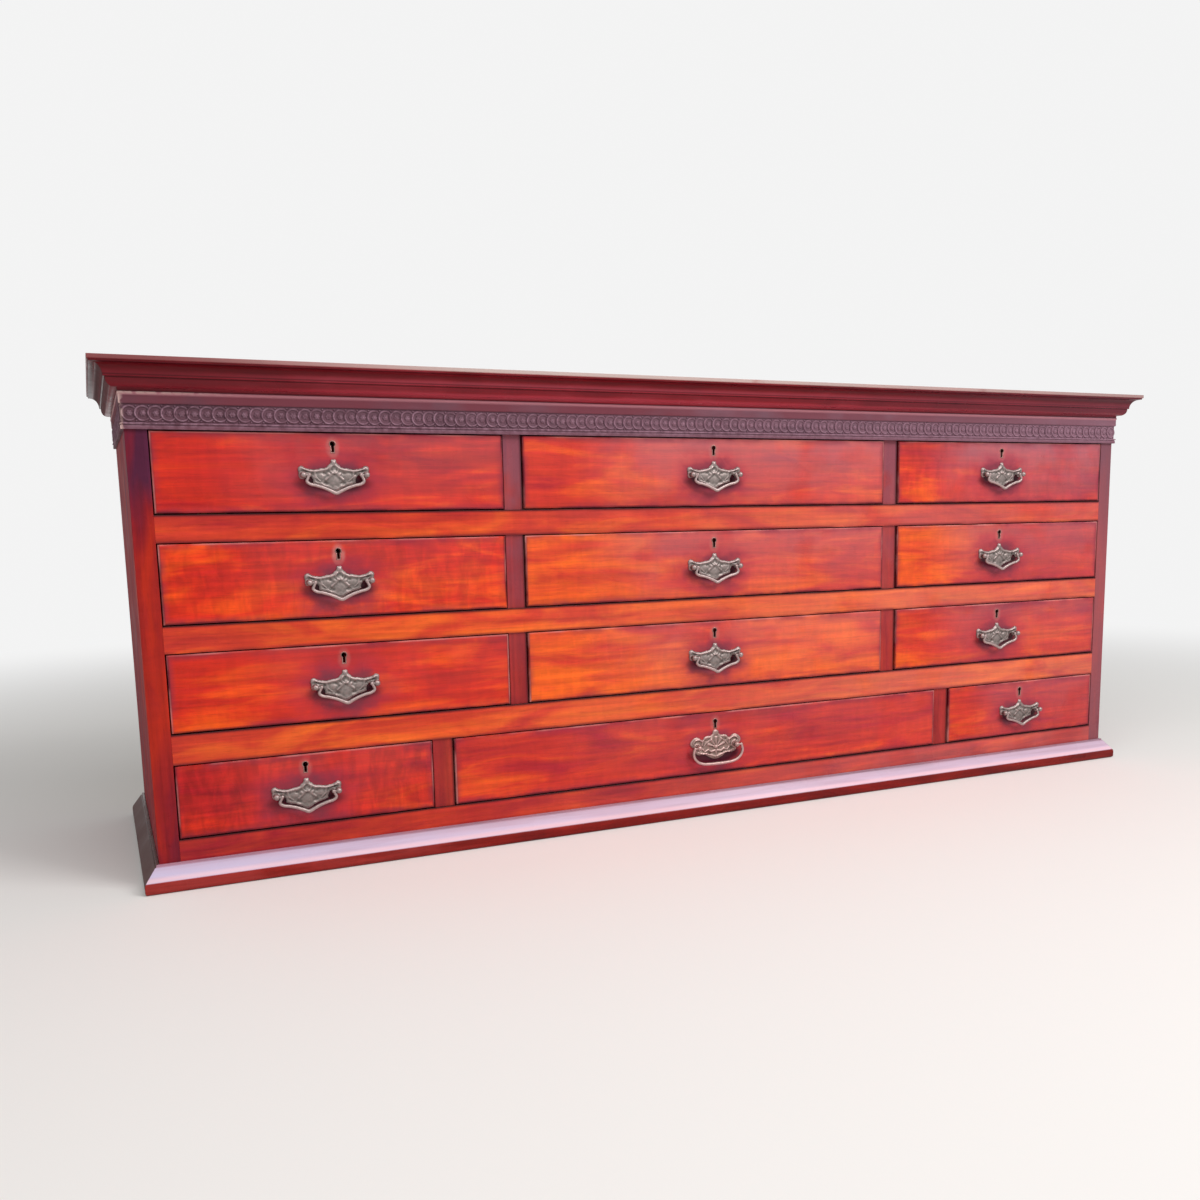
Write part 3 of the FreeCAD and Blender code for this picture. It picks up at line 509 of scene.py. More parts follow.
def rail_finish():
    """French-polished mahogany rails: the middle two the most orange, and all of them darkened by
    painted shade along the edges that the drawers close against."""
    material, tree, point = new_material("polished_rail")
    x, _, z = add(tree, "SeparateXYZ", [point]).outputs
    rising = add(tree, "MapRange", (z, 0.04, 0.14, 0.32, 0.7))
    falling = add(tree, "MapRange", (z, 0.28, 0.4, 0.94, 0.5))
    warmth = add(tree, "Math", (rising, falling), operation="MINIMUM")
    far_left = add(tree, "MapRange", (x, -HALF, -0.42, 0.22, 0))
    warmth = add(tree, "Math", (warmth, far_left), operation="SUBTRACT")
    wood, height = figure(tree, point, "x", 7.7, RAIL_TONES, warmth)
    # Dust and painted sheen towards the right
    dust_and_sheen = add(tree, "MapRange", (x, -0.35, 0.3, 0, 0.18))
    wood = worn(tree, wood, "#B09098", dust_and_sheen, patches(tree, point, 80, 2.9, 0.1, 0.5))
    # Painted shade along the edges that the drawers close against
    fronts = [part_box(f"drawer_front_{row}c1") for row in ROWS]
    sills = [low.z - 1.2 * MM for low, high in fronts]
    heads = [high.z + 1.2 * MM for low, high in fronts]
    edge_shade = lines_at(tree, z, sills + heads, 4.5 * MM)
    wood = worn(tree, wood, "#5A1622", edge_shade, 0.8, patches(tree, point, 60, 4.9, 0.25, 0.5))
    # Painted shadow in the gap below each drawer, the darkest of all
    gap_shadows = lines_at(tree, z, [low.z - 1 * MM for low, high in fronts], 3 * MM)
    wood = worn(tree, wood, "#2C080E", gap_shadows)
    surface(tree, point, wood, height, 7.7, **HANDLED_COAT)
    return material


def divider_finish():
    """Polished upright blocks between the drawers: under a purplish haze with a painted sheen at
    the top of the case, redder lower down, and painted with shade in the gaps beside the drawers."""
    material, tree, point = new_material("polished_divider")
    x, _, z = add(tree, "SeparateXYZ", [point]).outputs
    wood, height = figure(tree, point, "z", 12.1, DIVIDER_TONES, 0.5)
    # A purplish haze at the top, of dust with a painted sheen
    haze_and_sheen = add(tree, "MapRange", (z, 0.2, 0.46, 0, 0.7))
    wood = worn(tree, wood, "#80505F", haze_and_sheen, patches(tree, point, 45, 3.6, 0.2, 0.5))
    # Painted shade in the gaps: the drawers to the right of them stand off by a dark gap, and
    # the ones to the left by less
    to_right = [
        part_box(f"drawer_front_{drawer}")[0].x for drawer in ("r1c2", "r1c3", "r4c2", "r4c3")
    ]
    to_left = [
        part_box(f"drawer_front_{drawer}")[1].x for drawer in ("r1c1", "r1c2", "r4c1", "r4c2")
    ]
    wide_gap_shade = lines_at(tree, x, to_right, 5.4 * MM)
    thin_gap_shade = lines_at(tree, x, to_left, 2.6 * MM)
    gap_shade = add(tree, "Math", (wide_gap_shade, thin_gap_shade), operation="MAXIMUM")
    surface(tree, point, worn(tree, wood, "#22060E", gap_shade), height, 12.1, **HANDLED_COAT)
    return material


def stile_finish():
    """Polished side boards with upright grain: purple-brown at the top, reddest half way down, and
    paler on the right with dust and a painted sheen."""
    material, tree, point = new_material("polished_side_board")
    x, y, z = add(tree, "SeparateXYZ", [point]).outputs
    rising = add(tree, "MapRange", (z, 0.03, 0.2, 0.35, 0.95))
    falling = add(tree, "MapRange", (z, 0.31, FRIEZE_LOW.z, 1, -0.1))
    at_edge = add(tree, "Math", (rising, falling), operation="MINIMUM")
    behind = add(tree, "MapRange", (y, FRONT + 1 * MM, FRONT + 60 * MM))
    warmth = add(tree, "Mix", (behind, at_edge, 0.45))
    wood, height = figure(tree, point, "z", 3.1, STILE_TONES, warmth)
    # Dust and painted sheen towards the right
    dust_and_sheen = add(tree, "MapRange", (x, -0.3, 0.3, 0, 0.6))
    wood = worn(tree, wood, "#905E66", dust_and_sheen, patches(tree, point, 70, 8.3, 0.1, 0.4))
    surface(tree, point, wood, height, 3.1, dull_ends=0.45, Coat_Weight=0.03, Coat_Roughness=0.2,
            Specular_IOR_Level=0.1)
    return material


# How light falls on the cornice: the height above its foot and the reach up and down, both in
# millimetres, then the strength, the tone, and whether the band fades out towards the left end
CORNICE_BANDS = [
    (23.6, 5.4, 0.85, "#5C0A12", False), (16.6, 4.4, 0.7, "#AC4452", True),
    (9.8, 5.0, 0.65, "#641A22", False), (3.9, 3.6, 0.9, "#C04856", True),
    (0.2, 1.8, 0.9, "#4A0618", False), (13.0, 1.2, 0.6, "#26040A", False),
    (15.5, 1.2, 0.6, "#26040A", False), (26.4, 1.2, 0.6, "#26040A", False),
]


def cornice_finish():
    """Dark polished cornice: rubbed pale along its top edge, with a painted highlight there too,
    and painted light along its fillets and painted shade where each hollow turns down."""
    material, tree, point = new_material("dark_polished_cornice")
    x, y, z = add(tree, "SeparateXYZ", [point]).outputs
    wood, height = figure(tree, point, "x", 9.4, DARK_TONES, 0.5)
    # How much light falls along the cornice; painted shade where it is low, most at the left end
    from_left = add(tree, "MapRange", (x, -0.7, -0.28, 0.15, 1), **SOFT)
    to_right = add(tree, "MapRange", (x, -0.1, 0.73, 1, 0.5))
    lit = add(tree, "Math", (from_left, to_right), operation="MULTIPLY")
    wood = worn(tree, wood, "#4C0C18", add(tree, "MapRange", (lit, 0, 1, 0.6, 0)))
    for step, reach, strength, tone, fading in CORNICE_BANDS:
        band = lines_at(tree, z, [CORNICE_LOW.z + step * MM], reach * MM)
        wood = worn(tree, wood, tone, band, strength, lit if fading else 1)
    # Dust and painted sheen towards the right
    dust_and_sheen = add(tree, "MapRange", (x, 0.1, 0.73, 0, 0.45))
    wood = worn(tree, wood, "#5C3846", dust_and_sheen)
    # The left and right returns are dull, and darkened with painted shade
    on_shaded_return = add(tree, "MapRange", (aside(tree), 0.35, 0.6, 0, 0.6))
    wood = worn(tree, wood, "#2C1212", on_shaded_return)
    # Rubbed pale along the top edge, with a painted highlight that fades where less light falls
    top = CORNICE_HIGH.z
    rub_and_highlight = add(tree, "MapRange", (z, top - 5 * MM, top - 3.4 * MM, 0, 0.95))
    at_edge = add(tree, "MapRange", (y, CORNICE_LOW.y + 3 * MM, CORNICE_LOW.y + 9 * MM, 1, 0))
    uneven = patches(tree, point, 60, 2.2, 0.1, 0.35)
    wood = worn(tree, wood, "#C2AEA8", rub_and_highlight, lit, at_edge, uneven)
    surface(tree, point, wood, height, 9.4, (0.22, 0.4), dull_ends=0.6, Coat_Weight=0.04,
            Coat_Roughness=0.2)
    return material


def frieze_finish():
    """Carved frieze under dusty, hazed polish, with a painted sheen to the right: purple-brown in
    the ground, greyer on what stands proud as a painted highlight, and chipped to pale wood at its
    left end and along the top of that end."""
    material, tree, point = new_material("carved_frieze_dust_and_sheen")
    x, y, z = add(tree, "SeparateXYZ", [point]).outputs
    wood, height = figure(tree, point, "x", 4.4, FRIEZE_TONES, 0.5)
    # Painted highlight on the parts of the carving that stand proud
    proud_front = add(tree, "MapRange", (y, FRONT - 3.4 * MM, FRONT - 1.8 * MM, 0.75, 0))
    spread = add(tree, "Math", [x], operation="ABSOLUTE")
    proud_side = add(tree, "MapRange", (spread, HALF + 1.8 * MM, HALF + 3.4 * MM, 0, 0.75))
    proud_highlight = add(tree, "Math", (proud_front, proud_side), operation="MAXIMUM")
    carved = add(tree, "MapRange", (z, FRIEZE_TOP - 12.6 * MM, FRIEZE_TOP - 11.8 * MM, 1, 0))
    wood = worn(tree, wood, "#A07C8C", proud_highlight, carved, patches(tree, point, 6, 1.6, 0.38, 0.6))
    # Dust, with a painted sheen, lies more thickly to the right
    wood = worn(tree, wood, "#9A7484", add(tree, "MapRange", (x, -HALF, HALF, 0.02, 0.6)))
    # The plain band above the carving is redder, least so to the right
    band = add(tree, "Math", (0.85, carved), operation="SUBTRACT")
    band = add(tree, "Math", (band, 0), operation="MAXIMUM")
    redder = add(tree, "MapRange", (x, 0, HALF, 1, 0.3))
    wood = worn(tree, wood, "#763742", band, redder, patches(tree, point, 80, 5.5, 0.2, 0.5))
    low_fillet = lines_at(tree, z, [FRIEZE_LOW.z + 1.2 * MM], 4 * MM)
    wood = worn(tree, wood, "#6A404C", low_fillet, 0.65)
    # Painted highlight along the top edge
    lit_edge = lines_at(tree, z, [FRIEZE_TOP - 1.8 * MM], 2.8 * MM)
    wood = worn(tree, wood, "#CC8A94", lit_edge, 0.7)
    end = add(tree, "MapRange", (x, -HALF - 3.2 * MM, -HALF + 1.5 * MM, 1, 0))
    near_corner = add(tree, "MapRange", (y, FRONT - 3 * MM, FRONT + 5 * MM, 1, 0))
    end = add(tree, "Math", (end, near_corner), operation="MULTIPLY")
    top = add(tree, "MapRange", (z, FRIEZE_TOP - 3.4 * MM, FRIEZE_TOP - 1.2 * MM))
    top_left = add(tree, "MapRange", (x, -HALF, -HALF + 120 * MM, 1, 0))
    top = add(tree, "Math", (top, top_left), operation="MULTIPLY")
    chips = add(tree, "Math", (end, top), operation="MAXIMUM")
    wood = worn(tree, wood, "#CBAAA4", chips, patches(tree, point, 9, 6.1, 0.4, 0.5))
    surface(tree, point, wood, height, 4.4, (0.42, 0.65), dull_ends=0.3)
    return material


def base_finish():
    """Base moulding under thick glossy polish: its bevel carries a pale, bluish bloom with streaks,
    and the rounded foot is dark red."""
    material, tree, point = new_material("bloomed_base_moulding")
    x, y, z = add(tree, "SeparateXYZ", [point]).outputs
    redness = add(tree, "MapRange", (x, -HALF, 0.1, 0.85, 0.2))
    wood, height = figure(tree, point, "x", 6.6, BASE_TONES, redness)
    # The returns are darkened with painted shade. Beyond the mitre a point is further out to the
    # side than to the front.
    outward = add(tree, "Math", [x], operation="ABSOLUTE")
    outward = add(tree, "Math", (outward, y), operation="ADD")
    mitre = HALF + FRONT
    on_shaded_return = add(tree, "MapRange", (outward, mitre - 0.3 * MM, mitre + 0.3 * MM))
    wood = worn(tree, wood, "#421A16", on_shaded_return)
    bevel = (
        add(tree, "Math", (1, on_shaded_return), operation="SUBTRACT"),
        add(tree, "MapRange", (z, BASE_LOW.z + 12.2 * MM, BASE_LOW.z + 13.2 * MM)),
        add(tree, "MapRange", (z, BASE_HIGH.z - 3.2 * MM, BASE_HIGH.z - 2 * MM, 1, 0.5)),
        add(tree, "MapRange", (z, BASE_LOW.z + 16 * MM, BASE_HIGH.z - 3 * MM, 1, 0.8)),
    )
    film = blotches(tree, point, (130, 130, 5), 8.8, 4.0, 0.5)
    film = add(tree, "MapRange", (film, 0.3, 0.55, 0.8, 0.97))
    along = add(tree, "MapRange", (x, -HALF, -0.15))
    bloom = worn(tree, "#C9BFDC", "#D4BCD2", along)
    wood = worn(tree, wood, bloom, film, *bevel)
    # The lower part of the bevel catches more light
    lit = lines_at(tree, z, [BASE_LOW.z + 15 * MM], 4 * MM)
    wood = worn(tree, wood, "#F2C4CA", lit, 0.6, *bevel)
    surface(tree, point, wood, height, 6.6, (0.2, 0.34), dull_ends=0.35, Coat_Weight=0.1,
            Coat_Roughness=0.14)
    return material


def pine_finish(name, grain, seed, plank=0.0):
    """Planed pine, never polished: straw colour with brown growth lines, dry and matt. With a
    plank width given, boards side by side differ in tone and in their lines."""
    material, tree, point = new_material(name)
    x, y, z = add(tree, "SeparateXYZ", [point]).outputs
    if grain == "by_face":
        # Faces to the left and right are drawer sides, whose grain runs front to back. Turning
        # their pattern by swapping X and Y lays it along the board.
        swapped = add(tree, "CombineXYZ", (y, x, z))
        on_side = add(tree, "Math", (aside(tree), 0.5), operation="GREATER_THAN")
        point = add(tree, "Mix", (on_side, point, swapped), data_type="VECTOR")
        grain = "x"
    differing = 0.5
    if plank:
        board = add(tree, "Math", (x, plank), operation="DIVIDE")
        board = add(tree, "Math", [board], operation="FLOOR")
        differing = add(tree, "TexWhiteNoise", {"W": board}, noise_dimensions="1D")
        lengthened = add(tree, "CombineXYZ", {"Z": differing})
        point = add(tree, "VectorMath", (point, lengthened), operation="ADD")
    # Growth lines 7 to 20 mm apart, closer where the board was cut near the heart
    rings = blotches(tree, point, sized(grain, 900, 60), seed, 1.0, 0.3)
    rings = add(tree, "Math", (rings, 60), operation="MULTIPLY")
    rings = add(tree, "Math", [rings], operation="SINE")
    wood = worn(tree, "#D2AC7A", "#A4713F", add(tree, "MapRange", (rings, -0.4, 1, 0, 0.55)))
    fibre = blotches(tree, point, sized(grain, 60, 1.4), seed + 5, 3.0)
    fibres = add(tree, "MapRange", (fibre, 0.3, 0.7, 0.88, 1.06))
    wood = shaded(tree, wood, fibres, add(tree, "MapRange", (differing, 0, 1, 0.82, 1.08)))
    stain = blotches(tree, point, (90, 90, 70), seed + 3, 4.0)
    stain = add(tree, "MapRange", (stain, 0.45, 0.75, 0, 0.45))
    surface(tree, point, worn(tree, wood, "#86603A", stain), fibre, seed, (0.6, 0.8), 0.1)
    return material


def brass_finish(name, dull, mid, bright, gloss=(0.42, 0.54)):
    """Cast brass gone grey-brown with age: dark in the hollows, rubbed bright on the crests. The
    wear attribute holds how far each point stands out from what is round it."""
    material, tree, point = new_material(name)
    wear = add(tree, "Attribute", attribute_name="wear").outputs["Fac"]
    mottle = blotches(tree, point, (3.2, 3.2, 3.2), 2.7, 3.0)
    mottle = add(tree, "Math", (mottle, 0.5, -0.25), operation="MULTIPLY_ADD")
    level = add(tree, "Math", (wear, mottle), operation="ADD")
    hollow = add(tree, "MapRange", (level, 0.1, 0.5))
    crest = add(tree, "MapRange", (level, 0.5, 0.9))
    metal = worn(tree, worn(tree, dull, mid, hollow), bright, crest)
    rough = add(tree, "MapRange", (level, 0.2, 0.8, gloss[1], gloss[0]))
    grit = blotches(tree, point, (1.1, 1.1, 1.1), 5.2, 2.0)
    bump = add(tree, "Bump", {"Height": grit, "Strength": 0.3, "Distance": 0.08 * MM})
    shader = add(tree, "BsdfPrincipled", {"Base Color": metal, "Roughness": rough, "Normal": bump})
    shader.inputs["Metallic"].default_value = 0.85
    add(tree, "OutputMaterial", [shader])
    return material


# Outlines from the carcase outwards and from the foot up, as shares of projection and height.
# A third entry is a point that a curve passes.
CORNICE_SHARES = [
    (0, 0), (0.12, 0), (0.12, 0.1), (0.2, 0.1), (0.48, 0.4, (0.41, 0.18)), (0.54, 0.4),
    (0.54, 0.47), (0.9, 0.8, (0.66, 0.71)), (0.95, 0.8), (0.95, 0.86), (1, 0.86), (1, 1), (0, 1),
]
FRIEZE_SHARES = [
    (0, 0), (0.8, 0), (0.8, 0.09), (0.6, 0.105), (0.6, 0.12), (0.6, 0.18, (1, 0.15)), (0.4, 0.19),
    (0.4, 0.665), (0.52, 0.675), (0.85, 0.73, (0.78, 0.69)), (0.85, 0.93), (1, 0.94), (1, 1),
    (0, 1),
]
BASE_SHARES = [
    (0, 0), (0.88, 0), (1, 0.17, (0.982, 0.045)), (0.93, 0.44, (0.995, 0.33)), (0.3, 0.9),
    (0.2, 0.92), (0.2, 1), (0, 1),
]


def mitred_moulding(name, node, shares, projection, low, high, arris):
    """A moulding round the front and both ends. The foot of its outline is laid out in plan, then
    drawn up and outwards step by step, so that the mitres come of themselves."""
    profile = traced(shares, projection, high - low, 7)
    # A plane of 1 m, which puts its back edge on the back of the case
    far = BACK - 0.5
    piece = begin(bpy.ops.mesh.primitive_plane_add, name, size=1, location=(0, far, low))
    bpy.ops.transform.resize(value=(2 * HALF, DEPTH, 1), center_override=(0, BACK, low))
    bpy.ops.mesh.delete(type="ONLY_FACE")
    choose(piece, "EDGE", lambda edge: all(vert.co.y + far > BACK - NEAR for vert in edge.verts))
    bpy.ops.mesh.delete(type="EDGE")
    bpy.ops.mesh.select_all(action="SELECT")
    out, up = profile[0]
    for next_out, next_up in profile[1:] + profile[:1]:
        draw_out((0, 0, next_up - up))
        widened = ((HALF + next_out) / (HALF + out), (DEPTH + next_out) / (DEPTH + out), 1)
        bpy.ops.transform.resize(value=widened, center_override=(0, BACK, 0))
        out, up = next_out, next_up
    bpy.ops.mesh.select_all(action="SELECT")
    bpy.ops.mesh.remove_doubles(threshold=DOUBLES)
    bpy.ops.mesh.select_mode(type="EDGE")
    bpy.ops.mesh.select_all(action="DESELECT")
    bpy.ops.mesh.select_non_manifold()
    bpy.ops.mesh.fill_holes(sides=0)
    face_outwards()
    settle(piece)
    modify(piece, "BEVEL", width=arris, segments=2, limit_method="ANGLE",
           angle_limit=math.radians(GENTLE_ANGLE))
    settle(piece)
    even_shading(piece)
    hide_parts(node)
    return piece


cornice = mitred_moulding(
    "cornice_moulding", "cornice", CORNICE_SHARES, CORNICE_HIGH.x - HALF, CORNICE_LOW.z,
    CORNICE_HIGH.z, 0.4 * MM,
)
dress(cornice, "carcase", cornice_finish())

frieze_projection = FRIEZE_HIGH.x - HALF
frieze = mitred_moulding(
    "frieze_moulding", "frieze", FRIEZE_SHARES, frieze_projection, FRIEZE_LOW.z, FRIEZE_TOP,
    0.3 * MM,
)
frieze_polish = frieze_finish()
dress(frieze, "carcase", frieze_polish)

base = mitred_moulding(
    "base_bevel_moulding", "base_moulding", BASE_SHARES, BASE_HIGH.x - HALF, BASE_LOW.z,
    BASE_HIGH.z, 0.5 * MM,
)
dress(base, "carcase", base_finish())

# The board behind the frieze, which is glued to the top rail
BOARD_THICKNESS = 10 * MM
INNER = HALF - (SIDE_HIGH.x + HALF)
board_centre = (0, FRONT + BOARD_THICKNESS / 2, (FRIEZE_LOW.z + FRIEZE_HIGH.z) / 2)
backing = begin(
    bpy.ops.mesh.primitive_cube_add, "frieze_backing_board", size=1, location=board_centre,
)
bpy.ops.transform.resize(value=(2 * INNER, BOARD_THICKNESS, FRIEZE_HIGH.z - FRIEZE_LOW.z))
bpy.ops.mesh.bevel(offset=0.4 * MM, segments=2)
settle(backing)
dress(backing, "carcase", frieze_polish)


# The carved band of interlaced circles
RING_RADIUS = 7.5 * MM
RING_THICKNESS = 1.2 * MM
RING_SPACING = 12.6 * MM
# FRIEZE_SHARES puts the field that carries it at 0.4 of the projection, and from 0.19 to 0.665 of
# the height
FIELD = 0.4 * frieze_projection
BAND_CENTRE = FRIEZE_LOW.z + (0.19 + 0.665) / 2 * (FRIEZE_TOP - FRIEZE_LOW.z)


def carved_circle():
    """One circle of the band, facing -Y: a ring leaning a little so that it passes over one
    neighbour and under the other, a six-petalled flower in it, and a pellet above and below."""
    ring = begin(
        bpy.ops.mesh.primitive_torus_add, "ring", major_segments=18, minor_segments=5,
        major_radius=RING_RADIUS, minor_radius=RING_THICKNESS,
    )
    bpy.ops.transform.translate(value=(0, 0, 0.3 * MM))
    settle(ring)
    lean = Matrix.Rotation(math.radians(4), 4, "Z")
    ring.data.transform(lean @ Matrix.Rotation(QUARTER_TURN, 4, "X"))
    flower = begin(
        bpy.ops.mesh.primitive_cylinder_add, "flower", vertices=12, radius=3.7 * MM, depth=1.2 * MM,
        rotation=(QUARTER_TURN, 0, 0),
    )
    reopen(flower)
    choose(flower, "FACE", lambda face: face.normal.y < -0.9)
    bpy.ops.mesh.inset(thickness=0.8 * MM, depth=0.7 * MM)
    bpy.ops.mesh.inset(thickness=1.6 * MM, depth=-0.2 * MM)
    bpy.ops.mesh.inset(thickness=0.5 * MM, depth=0.5 * MM)
    choose(flower, "VERT", lambda vert: (
        math.hypot(vert.co.x, vert.co.z) > 2.2 * MM
        and round(math.degrees(math.atan2(vert.co.z, vert.co.x)) / 30) % 2 == 1
    ))
    bpy.ops.transform.resize(value=(0.74, 0.6, 0.74), center_override=(0, 0, 0))
    settle(flower, 60)
    pieces = [ring, flower]
    for side in (-1, 1):
        pellet = begin(
            bpy.ops.mesh.primitive_ico_sphere_add, "pellet", subdivisions=1, radius=1.3 * MM,
            location=(RING_SPACING / 2, -0.1 * MM, side * 7.6 * MM),
        )
        pieces.append(settle(pellet, 60))
    return joined(pieces, "carved_circle")


def carved_run(circle, name, length, turn, start):
    """A run of circles, as an array along the field of one side of the frieze."""
    count = round(length / RING_SPACING)
    run = placed_copy(circle, name, (0, 0, 0))
    modify(run, "ARRAY", count=count, use_relative_offset=False, use_constant_offset=True,
           constant_offset_displace=(length / count, 0, 0))
    place = Matrix.Translation(start) @ Matrix.Rotation(turn, 4, "Z")
    run.data.transform(place @ Matrix.Translation((length / count / 2, 0, 0)))
    return run


circle = carved_circle()
reach = HALF + FIELD
carving = joined([
    carved_run(circle, "front_run", 2 * HALF, 0, (-HALF, FRONT - FIELD, BAND_CENTRE)),
    carved_run(circle, "left_run", DEPTH, -QUARTER_TURN, (-reach, BACK, BAND_CENTRE)),
    carved_run(circle, "right_run", DEPTH, QUARTER_TURN, (reach, FRONT, BAND_CENTRE)),
], "frieze_carving")
bpy.data.objects.remove(circle)
# The last circles of the returns are cut off at the back of the case
reopen(carving)
bpy.ops.mesh.bisect(plane_co=(0, BACK, 0), plane_no=(0, 1, 0), use_fill=True, clear_outer=True)
settle(carving, 40)
dress(carving, "carcase", frieze_polish)


# The boards of the carcase
side_polish = stile_finish()
top_polish = top_finish()


def at_front(*verts, front=FRONT):
    return all(vert.co.y < front + NEAR for vert in verts)


def upright(first, second):
    return abs(first.co.z - second.co.z) > abs(first.co.x - second.co.x)


for side in ("left", "right"):
    board = softened_node(
        f"side_{side}", f"side_board_{side}", 0.6 * MM,
        lambda a, b: at_front(a, b) and upright(a, b),
    )
    dress(board, "carcase", side_polish)

rails = softened_node(
    "front_rails", "front_rails_polished", 0.5 * MM,
    lambda a, b: at_front(a, b) and not upright(a, b),
)
dress(rails, "carcase", rail_finish())

DIVIDER_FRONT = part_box("column_dividers")[0].y
dividers = softened_node(
    "column_dividers", "column_dividers_polished", 0.6 * MM,
    lambda a, b: at_front(a, b, front=DIVIDER_FRONT) and upright(a, b),
)
dress(dividers, "carcase", divider_finish())

runner_pine = pine_finish("pine_runner", "y", 2.5)
back_low, back_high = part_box("back_boards")
BACK_BOARDS = 6
plank_width = (back_high.x - back_low.x) / BACK_BOARDS
back_pine = pine_finish("pine_back_board", "z", 8.1, plank_width)
planks = softened_node(
    "back_boards", "pine_back_boards", 1.6 * MM,
    lambda a, b: upright(a, b) and min(a.co.y, b.co.y) > back_high.y - NEAR,
)
dress(planks, "carcase", back_pine)
rail_pine = pine_finish("pine_rail", "x", 11.6)
drawer_pine = pine_finish("pine_drawer_box", "by_face", 5.2)
PLAIN_NODES = {
    "top_board": top_polish, "bottom_board": rail_pine,
    "back_rails": rail_pine, "runners_and_guides": runner_pine,
}
for drawer in DRAWERS:
    PLAIN_NODES[f"drawer_box_{drawer}"] = drawer_pine
for node, material in PLAIN_NODES.items():
    for material_slot in frame["nodes"][node].material_slots:
        material_slot.material = material


# The drawer fronts
for number, drawer in enumerate(DRAWERS, 1):
    low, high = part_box(f"drawer_front_{drawer}")

    def on_outline(first, second, low=low, high=high):
        """True for the four arrises round the face, not for the rim of the keyhole."""
        if not at_front(first, second):
            return False
        for axis in (0, 2):
            for limit in (low[axis], high[axis]):
                if abs(first.co[axis] - limit) < NEAR and abs(second.co[axis] - limit) < NEAR:
                    return True
        return False

    front = softened_node(
        f"drawer_front_{drawer}", f"polished_front_{drawer}", 0.8 * MM, on_outline,
    )
    dress(front, f"drawer_{drawer}", drawer_front_finish(drawer, number))


# Outlines of the two back plates, from the top centre round one side to the bottom centre
WING_SIZE = (80 * MM, 33 * MM)
WING_SHARES = [
    (0, 0.52), (0.036, 0.45, (0.03, 0.502)), (0.08, 0.32, (0.048, 0.38)),
    (0.18, 0.225, (0.112, 0.25)), (0.35, 0.21, (0.26, 0.19)), (0.43, 0.31, (0.385, 0.24)),
    (0.48, 0.1, (0.482, 0.25)), (0.43, -0.12, (0.474, -0.08)), (0.38, -0.05, (0.394, -0.1)),
    (0.312, -0.06, (0.346, 0.0)), (0.292, -0.26, (0.293, -0.15)), (0.17, -0.35, (0.232, -0.315)),
    (0.078, -0.455, (0.118, -0.41)), (0, -0.55, (0.045, -0.515)),
]
CARTOUCHE_SIZE = (76 * MM, 41 * MM)
CARTOUCHE_SHARES = [
    (0, 0.54), (0.06, 0.4, (0.048, 0.49)), (0.16, 0.34, (0.1, 0.345)), (0.25, 0.23, (0.22, 0.31)),
    (0.3, 0.26, (0.272, 0.235)), (0.46, 0.27, (0.38, 0.33)), (0.5, 0.08, (0.5, 0.18)),
    (0.42, -0.02, (0.468, 0.015)), (0.42, -0.14, (0.4, -0.08)), (0.3, -0.27, (0.38, -0.235)),
    (0.18, -0.3, (0.24, -0.265)), (0, -0.44, (0.1, -0.395)),
]
# The step of a plate's grid and the size of a bail's voxels, each followed by a coarser one
PLATE_STEP, QUICK_PLATE_STEP = 0.5 * MM, 1.1 * MM
BAIL_VOXEL, QUICK_BAIL_VOXEL = 0.4 * MM, 0.8 * MM
PIVOT_STANDOFF = 8.5 * MM
KNUCKLE_RADIUS = 2.2 * MM
PIN_RADIUS = 1.3 * MM
BORE_RADIUS = 1.5 * MM
# Deep enough below a plate and its outline for both to be cut through
PLATE_DEPTH = 10 * MM
# From the middle of a plate to each of its posts, in millimetres
WING_POST_REACH = 34.6
CARTOUCHE_POST_REACH = 28.5


def distance_to(outline, x, y):
    """Distance of each point, in the outline's units, to the nearest side of a closed outline."""
    nearest = np.full(x.shape, np.inf)
    for (ax, ay), (bx, by) in zip(outline, outline[1:] + outline[:1]):
        dx, dy = bx - ax, by - ay
        share = ((x - ax) * dx + (y - ay) * dy) / max(dx * dx + dy * dy, 1e-12)
        share = np.clip(share, 0, 1)
        nearest = np.minimum(nearest, np.hypot(x - ax - share * dx, y - ay - share * dy))
    return nearest


def mound(x, y, centre, size, height, firmness=1.0):
    """A rounded mound, or a hollow where the height is below 0. Higher firmness gives it a
    flatter top and steeper sides."""
    away = ((x - centre[0]) / size[0]) ** 2 + ((y - centre[1]) / size[1]) ** 2
    return height * np.exp(-(away ** firmness))


def collar(x, y, centre, radius, width, height):
    """A raised ring."""
    away = np.hypot(x - centre[0], y - centre[1])
    return height * np.exp(-(((away - radius) / width) ** 2))


def stroke(x, y, points, width, height):
    """A raised line through some points, tapering from its start to its end."""
    total = np.zeros(x.shape)
    count = len(points) - 1
    for place, ((ax, ay), (bx, by)) in enumerate(zip(points, points[1:])):
        dx, dy = bx - ax, by - ay
        share = np.clip(((x - ax) * dx + (y - ay) * dy) / (dx * dx + dy * dy), 0, 1)
        away = np.hypot(x - ax - share * dx, y - ay - share * dy)
        thickness = width * (1 - 0.45 * (place + share) / count)
        ridge = height * np.exp(-((away / thickness) ** 2))
        total = np.where(np.abs(ridge) > np.abs(total), ridge, total)
    return total


